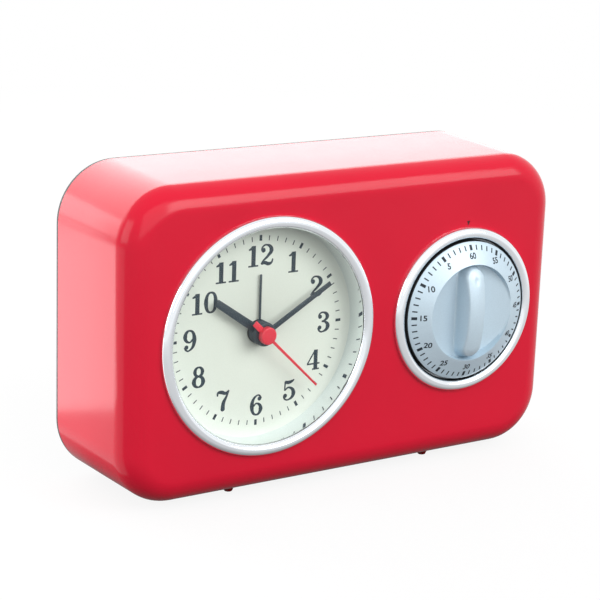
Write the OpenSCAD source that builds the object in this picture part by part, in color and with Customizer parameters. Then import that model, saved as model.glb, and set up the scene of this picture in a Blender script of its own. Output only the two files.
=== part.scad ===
// Retro kitchen clock: pressed steel case, quartz alarm movement and 60 minute clockwork timer.
// X runs to the right, Y from front to back, Z up, with the feet standing on Z = 0.
// Depths are counted from the front face of the case, positive towards the back.

/* [Case] */
// Width of the case at its rear edge
case_w = 170; // [164:1:190]
// Height of the case at its rear edge
case_h = 106; // [102:1:120]
// Depth of the steel shell without the back cover
case_d = 46; // [45:0.5:54]
// Thickness of the steel
wall = 1; // [0.8:0.1:1.2]
// Corner radius of the outline at the rear edge
corner_r = 20; // [16:1:24]
// Radius of the rolled front edge
edge_r = 8.5; // [6:0.5:10]
// How far each side leans in between the rear edge and the front
draft = 1.2; // [0.6:0.1:1.6]
// Height of the case's rear bottom edge above the table
foot_drop = 1.5; // [1:0.1:3]
// Radius of a rubber foot where it stands
foot_r = 1.8; // [1.4:0.1:2.2]
// Radius of a rubber foot's shoulder under the case
foot_shoulder_r = 2.8; // [2.4:0.1:3.6]
// Radius of the foot's stem through the case
foot_stem_r = 1.4; // [1:0.1:1.8]
// Sideways distance of a foot from the middle
foot_x = 39.6; // [30:0.5:50]
// Distance of a foot from the front face or from the shell's rear edge
foot_inset = 11; // [10:0.5:13]

/* [Back cover] */
// Thickness of the flange on the shell's rear edge
flange_t = 1; // [0.8:0.1:1.6]
// Thickness of the cover's plug inside the shell
plug_t = 2; // [1.6:0.1:3]
// Distance of a cover screw from the case's side
screw_side = 17; // [15:0.5:19]
// Distance of a cover screw from the case's top or bottom
screw_end = 15; // [14:0.5:16]
// Radius of a cover post
post_r = 3; // [2.6:0.1:3.6]
// Radius of a cover screw's thread
screw_r = 1.4; // [1.2:0.1:1.6]
// Radius of a cover screw's head
screw_head_r = 2.6; // [2.2:0.1:3]
// Height of the back's set knobs
set_knob_h = 6; // [4:0.5:8]
// Radius of the back's set knobs
set_knob_r = 5.6; // [4.5:0.1:6.5]
// Radius of the set knobs' stems
stem_r = 1.2; // [1:0.1:1.4]
// Gap between the back cover and a set knob
set_knob_gap = 1; // [0.5:0.1:2]
// Radius of a sound hole
sound_hole_r = 1.3; // [1:0.1:1.6]

/* [Clock front] */
// Sideways place of the clock's axis from the case's middle
clock_x = -32; // [-34:0.1:-31]
// Height of the clock's and the timer's axes above the case's middle
axis_rise = 0.5; // [0:0.1:1]
// Outer radius of the clock's chrome bezel
bezel_r = 40; // [39.4:0.1:41]
// Width of the clock bezel's bead
bezel_bead = 3.9; // [3.2:0.1:4.1]
// Height of the clock bezel's bead
bezel_rise = 2.1; // [1.9:0.1:2.6]
// Wall of the bezels' inner tubes
tube_wall = 1; // [0.8:0.1:1.2]
// Thickness of the clock's lens
lens_t = 1; // [0.8:0.1:1.2]
// Depth of the lens seat in front of the case's face
lens_lift = 0.4; // [0.2:0.1:0.6]
// Depth of the dial behind the case's face
dial_depth = 7.5; // [7.4:0.1:9]
// Thickness of the dial plate
dial_t = 0.8; // [0.6:0.1:1]
// Thickness of the dial pan
pan_t = 2; // [1.6:0.1:2.4]
// Radius of a fixing ear and of its weld stud's pad
ear_r = 4; // [3.6:0.1:4.4]
// Radius of a weld stud
stud_r = 1.5; // [1.3:0.1:1.7]
// Thickness of a nut
nut_t = 2; // [1.6:0.1:2.4]
// Distance across a nut's corners
nut_w = 5.6; // [5:0.1:6.2]

/* [Hands] */
// Length of the hour hand
hour_len = 21.3; // [18:0.1:24]
// Width of the hour hand
hour_w = 2.4; // [1.6:0.1:3]
// Where the hour hand points, clockwise from twelve
hour_angle = 305; // [0:1:359]
// Length of the minute hand
minute_len = 28.7; // [24:0.1:31]
// Width of the minute hand
minute_w = 1.8; // [1.2:0.1:2.4]
// Where the minute hand points
minute_angle = 60; // [0:1:359]
// Length of the alarm hand
alarm_len = 19.2; // [14:0.1:22]
// Width of the alarm hand
alarm_w = 1; // [0.8:0.1:1.6]
// Where the alarm hand points
alarm_angle = 0; // [0:1:359]
// Length of the second hand
second_len = 28; // [24:0.1:31]
// Width of the second hand at its tip
second_w = 0.7; // [0.5:0.1:1]
// Length of the second hand's tail
second_tail = 6.5; // [5:0.1:9]
// Width of the second hand's tail
tail_w = 2; // [1.4:0.1:2.6]
// Where the second hand points
second_angle = 134.5; // [0:0.5:359]
// Thickness of a hand's blade
blade_t = 0.4; // [0.3:0.1:0.5]
// Radius of the hands' bosses
hand_boss_r = 4; // [3.4:0.1:4.4]
// Height of a hand's boss
hand_boss_h = 1.2; // [1:0.1:1.3]
// Radius of the second hand's cap
cap_r = 2.9; // [2.4:0.1:3.4]
// Gap between one hand's boss and the next
hand_gap = 0.3; // [0.2:0.05:0.4]

/* [Movement] */
// Side of the square movement case
move_w = 56; // [54:1:57]
// Wall of the movement case
move_wall = 1.6; // [1.2:0.1:2]
// Thickness of the movement's front plate
front_t = 2; // [1.6:0.1:2.4]
// Thickness of the movement's middle plate
middle_t = 1; // [0.8:0.1:1.2]
// Thickness of the movement's rear wall
rear_t = 2; // [1.6:0.1:2.4]
// Radius of the second hand's arbor
second_arbor_r = 0.5; // [0.4:0.05:0.6]
// Wall of each pipe round the second hand's arbor
pipe_wall = 0.7; // [0.55:0.05:0.75]
// Radius of the small arbors
arbor_r = 0.4; // [0.3:0.05:0.45]
// Thickness of the setting wheels
wheel_t = 0.8; // [0.6:0.1:1]
// Thickness of the running wheels
fine_t = 0.6; // [0.5:0.05:0.7]
// Gap between two layers of wheels
layer_gap = 0.8; // [0.6:0.05:0.9]
// Distance from the clock's axis to the intermediate wheel
inter_reach = 8.4; // [8.2:0.1:9]
// Distance from the clock's axis to the alarm setting pinion
alarm_reach = 9; // [8.8:0.1:9.6]
// Distance from the clock's axis to the third wheel
third_reach = 7.2; // [7.1:0.05:7.5]
// Distance from the clock's axis to the fifth wheel
fifth_reach = 7.35; // [7.3:0.05:7.5]
// Distance from the fifth wheel to the rotor
rotor_reach = 6.3; // [6.1:0.05:6.6]
// Radius of the rotor's magnet
magnet_r = 2.5; // [2:0.1:2.8]
// Thickness of the rotor's magnet
magnet_t = 2; // [1.6:0.1:2.4]
// Distance of the movement's screws from its axis, both ways
move_screw_at = 22.5; // [22:0.1:23]

/* [Battery] */
// Radius of the battery cell
cell_r = 7.1; // [6.9:0.05:7.3]
// Length of the cell without its nub
cell_len = 49.2; // [48:0.1:50]
// Radius of the cell's nub
nub_r = 2.6; // [2:0.1:3]
// Length of the cell's nub
nub_len = 1.3; // [1:0.1:1.6]
// Height of the cell's axis above the case's bottom
cell_z = 15.4; // [15.2:0.1:15.8]
// Wall of the battery bay
bay_wall = 1.2; // [1:0.1:1.4]
// Space for a contact at each end of the cell
contact_space = 2.6; // [2.2:0.1:3.2]
// Thickness of the contacts' sheet
contact_t = 0.4; // [0.3:0.05:0.5]
// Thickness of the battery door
door_t = 1.5; // [1.2:0.1:1.7]
// Travel of the battery door
door_travel = 5; // [4:0.5:7]
// Travel of the alarm switch
switch_travel = 4; // [3:0.5:5]
// Radius of a battery lead
lead_r = 0.6; // [0.5:0.05:0.7]

/* [Timer front] */
// Sideways place of the timer's axis from the middle between the clock's bezel and the case's side
timer_x = -1; // [-1.2:0.05:0.4]
// Outer radius of the timer's chrome bezel
ring_r = 28.8; // [28.3:0.1:29.2]
// Width of the timer bezel's bead
ring_bead = 3.2; // [2.6:0.1:3.4]
// Height of the timer bezel's bead
ring_rise = 2.2; // [1.8:0.1:2.4]
// Outer radius of the timer knob's skirt
knob_r = 24.5; // [23.5:0.1:24.6]
// Radius of the finger dish in the knob
dish_r = 16.5; // [15:0.1:18]
// Height of the skirt's edge in front of the case's face
skirt_lift = 1.3; // [1:0.1:2]
// Height of the dish's rim in front of the case's face
rim_lift = 5.1; // [4.6:0.1:5.6]
// Height of the dish's floor in front of the case's face
dish_lift = 3; // [2.6:0.1:3.6]
// Height of the grip's crest in front of the case's face
crest_lift = 9.1; // [8:0.1:11]
// How far the crest falls towards the grip's ends
crest_fall = 3; // [2:0.1:4]
// Width of the grip along its crest
crest_w = 5.6; // [4:0.1:7]
// Width of the grip at its foot
grip_w = 8; // [7:0.1:10]
// Length of the grip
grip_len = 32; // [28:0.5:32.5]

/* [Timer works] */
// Depth of the timer's front plate behind the case's face
plate_depth = 5; // [5:0.1:6]
// Thickness of the timer's plates
plate_t = 1.2; // [1:0.1:1.4]
// Radius of the timer's plates
plate_r = 24; // [23.8:0.1:25]
// Radius of the timer's main arbor
main_arbor_r = 1.6; // [1.4:0.1:1.8]
// Radius of the timer's small arbors
timer_arbor_r = 0.6; // [0.5:0.05:0.7]
// Thickness of the timer's wheels
timer_wheel_t = 0.9; // [0.8:0.05:1]
// Gap between two layers of timer wheels
timer_gap = 1.1; // [1:0.05:1.2]
// Width of the mainspring
spring_w = 5; // [4:0.5:5]
// Thickness of the mainspring's strip
spring_t = 0.35; // [0.3:0.05:0.5]
// Outer radius of the mainspring
spring_r = 10; // [9:0.1:10.4]
// Turns of the mainspring
spring_turns = 6; // [4:0.5:6]
// Distance from the main arbor to the second arbor
second_reach = 12.3; // [12.2:0.05:12.6]
// Distance from the second arbor to the third arbor
timer_third_reach = 9.8; // [9.7:0.05:10]
// Distance from the third arbor to the escape arbor
escape_reach = 7.5; // [7.45:0.05:7.6]
// Distance from the escape arbor to the balance arbor
balance_reach = 9; // [8.8:0.1:9.6]
// Tip radius of the escape wheel
escape_r = 5; // [4.6:0.1:5.2]
// Radius of the pillars
pillar_r = 1.8; // [1.5:0.1:2]
// Distance of the pillars from the main arbor
pillar_at = 21.4; // [21:0.1:21.8]
// Outer radius of the bell
bell_r = 21; // [20.5:0.1:22]
// Depth of the bell
bell_h = 9; // [8:0.1:10]
// Wall of the bell
bell_wall = 0.9; // [0.7:0.1:1.1]
// Gap between the rear plate and the bell's rim
bell_gap = 1.2; // [1:0.1:1.6]
// Radius of the bell's post
bell_post_r = 1.6; // [1.4:0.1:2]
// Thickness of the hammer's arm
hammer_t = 1.5; // [1.2:0.1:1.8]
// Radius of the hammer's head
hammer_r = 2; // [1.8:0.1:2.2]
// Distance from the main arbor to the hammer's head
hammer_at = 16.4; // [16:0.1:16.6]

/* [Clearances] */
// Radial clearance of a turning fit
run_fit = 0.05; // [0.02:0.01:0.09]
// Clearance of a seated part
seat_fit = 0.1; // [0.05:0.01:0.2]
// Clearance of a loose or sliding part
slide_fit = 0.3; // [0.2:0.05:0.4]

/* [Hidden] */
$fn = 64;

// Colours
red_enamel = "#d0203a";
black_plastic = "#26262a";
steel = "#b4b8bc";
chrome = "#e4e8ea";
brass = "#c8a850";
acetal = "#e6e2d4";
slate = "#33475a";

// Whole object: the front of the knob's crest to the back of the set knobs
rear_d = case_d + flange_t;
knob_end_d = rear_d + set_knob_gap + set_knob_h;
front_y = crest_lift - (crest_lift + knob_end_d) / 2;
mid_z = case_h / 2;
axis_z = mid_z + axis_rise;
lean = atan(draft / case_d);
arc_u = corner_r - draft + edge_r * tan(lean) - edge_r / cos(lean);
plug_d = case_d - plug_t;
timer_axis_x = (clock_x + bezel_r + case_w / 2) / 2 + timer_x;
// Tooth form shared by every wheel: height above and below the pitch circle and share of the pitch
tooth_add = 0.9;
tooth_ded = 1.2;
tooth_share = 0.43;
pressure = 20;
overcut = 1;

// Cover screws
screw_depth = 7;
head_sink = 0.4;
head_below = 0.2;
cross_depth = 0.7;
cross_len = 3;
cross_w = 0.8;

// Feet
foot_edge = 0.4;
foot_bead = 0.8;
foot_bead_h = 1.6;

// Clock stack, front to back
bead_step = 0.6;
hole_r = bezel_r - bezel_bead + bead_step;
tube_r = hole_r - seat_fit;
lens_r = bezel_r - bezel_bead - seat_fit;
lens_edge = 0.3;
dial_back = dial_depth + dial_t;
pan_back = dial_back + pan_t;
pan_wall = 1.6;
ear_lap = 0.4;
pan_wall_r = tube_r + seat_fit + pan_wall;
pan_ear_at = pan_wall_r + ear_r - ear_lap;
pan_ear_t = 2;
stud_end = 1;
pan_screw_r = 1;
pan_head_r = 1.9;
pan_screw_in = 2.5;
slot_w = 0.5;
gear_d = pan_back + front_t;
alarm_d = gear_d + layer_gap;
hour_d = alarm_d + wheel_t + layer_gap;
inter_d = hour_d + wheel_t + layer_gap;
middle_d = inter_d + wheel_t + layer_gap;
centre_d = middle_d + middle_t + layer_gap;
third_d = centre_d + fine_t + layer_gap;
second_d = third_d + fine_t + layer_gap;
fifth_d = second_d + fine_t + layer_gap;
rotor_d = fifth_d + fine_t + layer_gap;
rotor_end = 1.2;
floor_d = rotor_d + magnet_t + layer_gap + rotor_end;
move_back = floor_d + rear_t;
pivot = 0.8;
minute_bore = second_arbor_r + run_fit;
minute_r = minute_bore + pipe_wall;
hour_bore = minute_r + run_fit;
hour_r = hour_bore + pipe_wall;
alarm_bore = hour_r + run_fit;
alarm_r = alarm_bore + pipe_wall;
bush_bore = alarm_r + run_fit;
bush_wall = 1.1;
bush_lift = 0.3;
bush_r = bush_bore + bush_wall;
bush_d = dial_depth - bush_lift;
// Front of each hand's boss, from the dial outwards
alarm_boss_d = bush_d - hand_gap - hand_boss_h;
hour_boss_d = alarm_boss_d - hand_gap - hand_boss_h;
minute_boss_d = hour_boss_d - hand_gap - hand_boss_h;
second_boss_d = minute_boss_d - hand_gap - hand_boss_h;
cap_rise = 0.8;
cap_edge = 0.6;
cap_d = second_boss_d - cap_rise;

// Running wheels: teeth, and modules that fit the distances between their axes
rotor_n = 10;
fifth_n = 50;
fifth_pinion_n = 10;
second_n = 60;
second_pinion_n = 10;
third_n = 75;
third_pinion_n = 10;
centre_n = 80;
rotor_m = 2 * rotor_reach / (rotor_n + fifth_n);
fifth_m = 2 * fifth_reach / (fifth_pinion_n + second_n);
third_m = 2 * third_reach / (second_pinion_n + third_n);
centre_m = 2 * third_reach / (third_pinion_n + centre_n);
// Setting wheels
cannon_n = 12;
inter_n = 36;
inter_pinion_n = 10;
hour_n = 40;
alarm_n = 30;
alarm_pinion_n = 15;
inter_m = 2 * inter_reach / (cannon_n + inter_n);
hour_m = 2 * inter_reach / (inter_pinion_n + hour_n);
alarm_m = 2 * alarm_reach / (alarm_n + alarm_pinion_n);
// Directions from one axis to the next, anticlockwise from the right as seen from the front
inter_dir = 60;
alarm_dir = -60;
third_dir = 180;
fifth_dir = 250;
rotor_dir = 200;
inter_at = polar(inter_reach, inter_dir);
alarm_at = polar(alarm_reach, alarm_dir);
third_at = polar(third_reach, third_dir);
fifth_at = polar(fifth_reach, fifth_dir);
rotor_at = fifth_at + polar(rotor_reach, rotor_dir);
// How far each wheel is turned so that its teeth meet the gaps of the next
third_phase = mesh_phase(second_pinion_n, 0, third_n, third_dir);
centre_phase = mesh_phase(third_pinion_n, third_phase, centre_n, third_dir + 180);
fifth_phase = mesh_phase(second_n, 0, fifth_pinion_n, fifth_dir);
rotor_phase = mesh_phase(fifth_n, fifth_phase, rotor_n, rotor_dir);
inter_phase = mesh_phase(cannon_n, 0, inter_n, inter_dir);
hour_phase = mesh_phase(inter_pinion_n, inter_phase, hour_n, inter_dir + 180);
alarm_phase = mesh_phase(alarm_n, 0, alarm_pinion_n, alarm_dir);

// Inside of the movement
move_corner = 4;
move_in = move_w - 2 * move_wall;
plate_gap = 0.5;
boss_r = 3;
boss_hole = 4;
head_t = 1.2;
board_edge = 4;
peg_rise = 4;
pinion_end = 0.2;
hub_wall = 1;
coil_lift = 0.4;
board_t = 1;
board_gap = 2;
board_d = floor_d - board_gap - board_t;
board_w = 36;
board_h = 10;
board_z = 17;
peg_r = 1.4;
crystal_r = 1.5;
crystal_len = 8;
stator_t = 0.8;
stator_d = rotor_d + magnet_t / 2 - stator_t / 2;
coil_r = 3;
coil_len = 16;
coil_core = 2;
coil_drop = 9.2;
coil_at = rotor_at - [0, 0, coil_drop];
magnet_gap = 0.4;
stator_h = 9;
stator_leg = 3;
coil_gap = 1;
stator_w = coil_len + 2 * coil_gap + 2 * stator_leg;

// Set knobs
set_knob_cap = 1;
knob_edge = 0.5;
flutes = 16;
flute_r = 0.6;

// Battery bay and the pieces on the back cover
bay_len = cell_len + nub_len + 2 * contact_space;
bay_gap = 0.8;
bay_h = 2 * cell_r + 2 * bay_gap;
door_d = rear_d - door_t;
door_gap = 0.5;
bay_floor_gap = 0.4;
cell_d = door_d - cell_r - door_gap;
bay_front = cell_d - cell_r - bay_floor_gap;
door_lip = 1.2;
contact_w = 10;
tongue_w = 4;
cone_r = 4.5;
rib_w = 1;
rib_depth = 0.5;
rib_side = 5;
sound_pitch = 4.3;
door_w = bay_len + 2 * door_lip;
door_h = bay_h + 2 * door_lip;
switch_side = 26.4;
switch_at = [clock_x - switch_side, axis_z];
switch_w = 7;
switch_h = 15;
switch_depth = 5;
slider_w = 3;
slider_h = 5;
slider_foot = 1.9;
slider_lip = 0.8;
slider_lift = 1.6;
buzzer_top = 14;
buzzer_at = [clock_x, case_h - buzzer_top];
buzzer_r = 8;
buzzer_t = 3;
buzzer_lift = 0.8;
disc_t = 0.4;
// Where each lead leaves the bay and where it goes through the movement's rear wall
lead_gap = 3;
lead_d = move_back + lead_gap;
lead_exit_x = bay_len / 2 - contact_t - lead_r;
lead_entry_x = [15, 11];
lead_drop = 2;
lead_entry_z = board_z - lead_drop;

// Timer knob
knob_back = 0.3;
knob_step = 0.4;
knob_hub = 2;
scoop_side = 1.2;
rim_land = 0.7;
scoop_at = grip_w / 2 + scoop_side;
scoop_rise = rim_lift - dish_lift;
scoop_r = (pow(dish_r - scoop_at, 2) + pow(scoop_rise, 2)) / (2 * scoop_rise);

// Timer stack, front to back
ring_hole_r = ring_r - ring_bead + bead_step;
ring_tube_r = ring_hole_r - seat_fit;
clamp_wall = 2.4;
clamp_lap = 1.2;
clamp_r = ring_tube_r + seat_fit + clamp_wall;
timer_ear_at = clamp_r + ear_r - clamp_lap;
timer_ear_angles = [60, 180, 300];
pan_ear_angles = [45, 135, 225, 315];
plate_back = plate_depth + plate_t;
spring_gap = 0.8;
spring_d = plate_back + spring_gap;
main_d = spring_d + spring_w + timer_gap;
timer_second_d = main_d + timer_wheel_t + timer_gap;
timer_third_d = timer_second_d + timer_wheel_t + timer_gap;
escape_d = timer_third_d + timer_wheel_t + timer_gap;
rear_plate_d = escape_d + timer_wheel_t + timer_gap;
rear_plate_back = rear_plate_d + plate_t;
bell_d = rear_plate_back + bell_gap;
hammer_in = 2;
hammer_d = bell_d + hammer_in;
main_n = 72;
timer_pinion_n = 10;
timer_second_n = 60;
timer_third_n = 50;
escape_n = 15;
main_m = 2 * second_reach / (main_n + timer_pinion_n);
timer_second_m = 2 * timer_third_reach / (timer_second_n + timer_pinion_n);
timer_third_m = 2 * escape_reach / (timer_third_n + timer_pinion_n);
timer_second_dir = 200;
timer_third_dir = 290;
escape_dir = 10;
balance_dir = 0;
timer_second_at = polar(second_reach, timer_second_dir);
timer_third_at = timer_second_at + polar(timer_third_reach, timer_third_dir);
escape_at = timer_third_at + polar(escape_reach, escape_dir);
balance_at = escape_at + polar(balance_reach, balance_dir);
timer_second_phase = mesh_phase(main_n, 0, timer_pinion_n, timer_second_dir);
timer_third_phase = mesh_phase(timer_second_n, timer_second_phase, timer_pinion_n, timer_third_dir);
escape_phase = mesh_phase(timer_third_n, timer_third_phase, timer_pinion_n, escape_dir);
pillar_angles = [75, 165, 330];
hammer_dir = 40;
hammer_pivot_at = 13.6;
hammer_turn = 30;
hammer_pivot = polar(hammer_pivot_at, hammer_dir + hammer_turn);
hammer_head = polar(hammer_at, hammer_dir);
ratchet_r = 4.6;
ratchet_n = 12;
ratchet_h = 0.9;
pawl_r = 0.8;
hub_r = main_arbor_r + hub_wall;
arbor_in = 2;
pillar_step = 0.6;
timer_pinion_end = 0.3;
pallet_gap = 0.5;

// Point at a distance and an angle from the axis, as seen from the front
function polar(r, a) = [r * cos(a), 0, r * sin(a)];

// Turn of a wheel of nb teeth so that it meshes with one of na teeth turned by pa, in direction dir
function mesh_phase(na, pa, nb, dir) = dir + 180 + (dir - pa) * na / nb + 180 / nb;

// Involute tooth: half its angle at radius r
function involute(a) = tan(a) * 180 / PI - a;
function tooth_half(n, m, r) =
    let (base = n * m / 2 * cos(pressure), a = r > base ? acos(base / r) : 0)
    180 * tooth_share / n + involute(pressure) - involute(a);
function wheel_points(n, m, phase) =
    let (pitch_r = n * m / 2, radii = [pitch_r - tooth_ded * m, pitch_r, pitch_r + tooth_add * m])
    [for (i = [0:n - 1], side = [-1, 1], k = [0:2])
        let (r = radii[side < 0 ? k : 2 - k], a = phase + 360 * i / n + side * tooth_half(n, m, r))
        [r * cos(a), r * sin(a)]];

// Saw teeth, for the escape wheel and the ratchet
function saw_points(n, r_in, r_out, undercut) =
    [for (i = [0:n - 1], k = [0:2])
        let (a = 360 * i / n + [0, undercut, undercut + 60 / n][k], r = k == 0 ? r_in : r_out)
        [r * cos(a), r * sin(a)]];

// Spiral strip of even pitch
function spiral_points(r0, r1, turns, t, steps) =
    let (edge = function(shift) [for (i = [0:steps])
        let (a = 360 * turns * i / steps, r = r0 + (r1 - r0) * i / steps + shift) [r * cos(a), r * sin(a)]],
        outer = edge(t), inner = edge(0))
    concat(outer, [for (i = [steps:-1:0]) inner[i]]);

// Places
module at_case() { translate([0, front_y, foot_drop]) children(); }
module at_clock() { at_case() translate([clock_x, 0, axis_z]) children(); }
module at_timer() { at_case() translate([timer_axis_x, 0, axis_z]) children(); }

// A flat shape, drawn as seen from the front, made solid between two depths
module slab(d0, d1) { translate([0, d1, 0]) rotate([90, 0, 0]) linear_extrude(d1 - d0) children(); }
module rod(r, d0, d1) { slab(d0, d1) circle(r); }
module pipe(r, bore, d0, d1) {
    difference() {
        rod(r, d0, d1);
        rod(bore, d0 - overcut, d1 + overcut);
    }
}
// A profile of [radius, depth] points turned about the depth axis
module turned() { rotate([-90, 0, 0]) rotate_extrude() children(); }
module wheel(n, m, phase, d0, d1) { slab(d0, d1) polygon(wheel_points(n, m, phase)); }
module round_rect(w, h, r) {
    square([w - 2 * r, h], center = true);
    square([w, h - 2 * r], center = true);
    for (x = [-1, 1], z = [-1, 1]) translate([x * (w / 2 - r), z * (h / 2 - r)]) circle(r);
}

// Case
function side_u(d, inset) = corner_r - draft + d * tan(lean) - inset / cos(lean);
module wall_profile(inset, end) {
    r = edge_r - inset;
    polygon([[0, inset], [arc_u, inset], [arc_u + r * cos(lean), edge_r - r * sin(lean)],
        [side_u(end, inset), end], [0, end]]);
    translate([arc_u, edge_r]) circle(r);
}
module tray(inset, end) {
    span_x = case_w - 2 * corner_r;
    span_z = case_h - 2 * corner_r;
    starts = [[span_x / 2, corner_r], [span_x / 2, case_h - corner_r],
        [-span_x / 2, case_h - corner_r], [-span_x / 2, corner_r]];
    translate([-span_x / 2, inset, corner_r]) cube([span_x, end - inset, span_z]);
    for (k = [0:3])
        translate([starts[k][0], 0, starts[k][1]]) rotate([0, -90 * k, 0]) {
            linear_extrude(k % 2 == 0 ? span_z : span_x) wall_profile(inset, end);
            rotate([-90, 0, 0]) rotate_extrude(angle = 90) wall_profile(inset, end);
        }
}
module foot_places() {
    for (x = [-foot_x, foot_x], d = [foot_inset, case_d - foot_inset]) translate([x, d, 0]) children();
}
module pan_studs() {
    for (a = pan_ear_angles) translate([clock_x, 0, axis_z] + polar(pan_ear_at, a)) children();
}
module timer_studs() {
    for (a = timer_ear_angles) translate([timer_axis_x, 0, axis_z] + polar(timer_ear_at, a)) children();
}
module cover_places() {
    for (x = [-1, 1], z = [screw_end, case_h - screw_end])
        translate([x * (case_w / 2 - screw_side), 0, z]) children();
}

module case_shell() {
    color(red_enamel) at_case() {
        difference() {
            tray(0, case_d);
            tray(wall, case_d + overcut);
            translate([clock_x, 0, axis_z]) rod(hole_r, -overcut, wall + overcut);
            translate([timer_axis_x, 0, axis_z]) rod(ring_hole_r, -overcut, wall + overcut);
            foot_places() translate([0, 0, -overcut]) cylinder(r = foot_stem_r + run_fit, h = 4 * wall);
        }
        pan_studs() rod(stud_r, wall, wall + pan_ear_t + nut_t + stud_end);
        timer_studs() rod(stud_r, wall, plate_back + nut_t + stud_end);
    }
}

module cover_posts() {
    color(steel) at_case() cover_places() difference() {
        rod(post_r, wall, plug_d);
        rod(screw_r, plug_d - screw_depth - overcut, plug_d + overcut);
    }
}

// A foot's shoulder meets the sloping underside at its rear edge, and its bead holds above the sheet
function underside(d) = draft * (1 - d / case_d);
module rubber_feet() {
    color(black_plastic) at_case()
        for (x = [-foot_x, foot_x], d = [foot_inset, case_d - foot_inset]) translate([x, d, 0]) {
            top = underside(d + foot_shoulder_r);
            bead = underside(d - foot_shoulder_r) + wall / cos(lean);
            rotate_extrude() polygon([[0, -foot_drop], [foot_r, -foot_drop], [foot_shoulder_r, top - foot_edge],
                [foot_shoulder_r, top], [foot_stem_r, top], [foot_stem_r, bead], [foot_stem_r + foot_bead, bead],
                [foot_stem_r - foot_edge, bead + foot_bead_h], [0, bead + foot_bead_h]]);
        }
}

// Back cover
module cover_outline(inset) {
    translate([0, mid_z]) round_rect(case_w - 2 * inset, case_h - 2 * inset, corner_r - inset);
}
module sound_holes() {
    for (ring = [0:3], i = [0:max(0, 6 * ring - 1)])
        translate([timer_axis_x, 0, axis_z] + polar(ring * sound_pitch, i * 60 / max(1, ring)))
            rod(sound_hole_r, plug_d - overcut, rear_d + overcut);
    for (ring = [0:1], i = [0:max(0, 6 * ring - 1)])
        translate([buzzer_at[0], 0, buzzer_at[1]] + polar(ring * sound_pitch, i * 60))
            rod(sound_hole_r, plug_d - overcut, rear_d + overcut);
}
module back_cover() {
    plug_inset = wall / cos(lean) + draft * plug_t / case_d + slide_fit;
    color(black_plastic) at_case() difference() {
        union() {
            slab(plug_d, case_d) cover_outline(plug_inset);
            slab(case_d, rear_d) cover_outline(0);
            slab(bay_front - bay_wall, case_d) translate([0, cell_z])
                square([bay_len + 2 * bay_wall, bay_h + 2 * bay_wall], center = true);
            translate([buzzer_at[0], 0, buzzer_at[1]])
                pipe(buzzer_r + seat_fit + wall, buzzer_r + seat_fit, plug_d - buzzer_t, plug_d);
        }
        slab(bay_front, rear_d + overcut) translate([0, cell_z]) square([bay_len, bay_h], center = true);
        slab(door_d - seat_fit, rear_d + overcut) translate([door_travel / 2, cell_z])
            square([door_w + 2 * slide_fit + door_travel, door_h + 2 * slide_fit], center = true);
        cover_places() {
            rod(screw_r + slide_fit, plug_d - overcut, rear_d + overcut);
            rod(screw_head_r + slide_fit, case_d - head_sink, rear_d + overcut);
        }
        for (p = [inter_at, alarm_at]) translate([clock_x, 0, axis_z] + p)
            rod(stem_r + slide_fit, plug_d - overcut, rear_d + overcut);
        slab(plug_d - overcut, rear_d + overcut) translate(switch_at)
            square([slider_w + 2 * slide_fit, slider_h + switch_travel + 2 * slide_fit], center = true);
        for (x = [-1, 1]) translate([x * lead_exit_x, lead_d, cell_z + bay_h / 2 - overcut])
            cylinder(r = lead_r + slide_fit, h = bay_wall + 2 * overcut);
        sound_holes();
    }
}
module cover_screws() {
    color(steel) at_case() cover_places() difference() {
        union() {
            rod(screw_r - run_fit, plug_d - screw_depth, case_d);
            rod(screw_head_r, case_d - head_sink, rear_d - head_below);
        }
        slab(rear_d - head_below - cross_depth, rear_d) {
            square([cross_len, cross_w], center = true);
            square([cross_w, cross_len], center = true);
        }
    }
}

// Clock front
module bezel(r, bead, rise, tube, depth, seat_r, seat_d) {
    turned() difference() {
        union() {
            translate([r - bead, -rise + bead / 2]) square([bead, rise - bead / 2]);
            translate([r - bead / 2, -rise + bead / 2]) circle(bead / 2);
            translate([tube - tube_wall, -rise / 2]) square([tube_wall, depth + rise / 2]);
        }
        translate([0, seat_d - 2 * rise]) square([seat_r, 2 * rise]);
        translate([tube, 0]) square([r, depth]);
    }
}
module clock_bezel() {
    color(chrome) at_clock()
        bezel(bezel_r, bezel_bead, bezel_rise, tube_r, dial_depth, lens_r + seat_fit, -lens_lift);
}
module clock_lens() {
    color("#dfe9ee", 0.3) at_clock() turned() polygon([[0, -lens_lift], [lens_r, -lens_lift],
        [lens_r, -lens_lift - lens_t + lens_edge], [lens_r - lens_edge, -lens_lift - lens_t], [0, -lens_lift - lens_t]]);
}
module clock_dial() { color("#e4eae0") at_clock() pipe(tube_r, bush_r + seat_fit, dial_depth, dial_back); }

module ears(at, angles) { for (a = angles) translate([at * cos(a), at * sin(a)]) circle(ear_r); }
module ear_holes(at, angles) { for (a = angles) translate([at * cos(a), at * sin(a)]) circle(stud_r + seat_fit); }
module dial_pan() {
    color(black_plastic) at_clock() difference() {
        union() {
            rod(pan_wall_r, wall, pan_back);
            slab(wall, wall + pan_ear_t) ears(pan_ear_at, pan_ear_angles);
        }
        rod(tube_r + seat_fit, wall - overcut, dial_back);
        rod(bush_r + seat_fit, dial_back - overcut, pan_back + overcut);
        slab(wall - overcut, wall + pan_ear_t + overcut) ear_holes(pan_ear_at, pan_ear_angles);
        for (x = [-1, 1], z = [-1, 1]) translate([x * move_screw_at, 0, z * move_screw_at])
            pan_screw_seat(seat_fit);
    }
}
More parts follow.
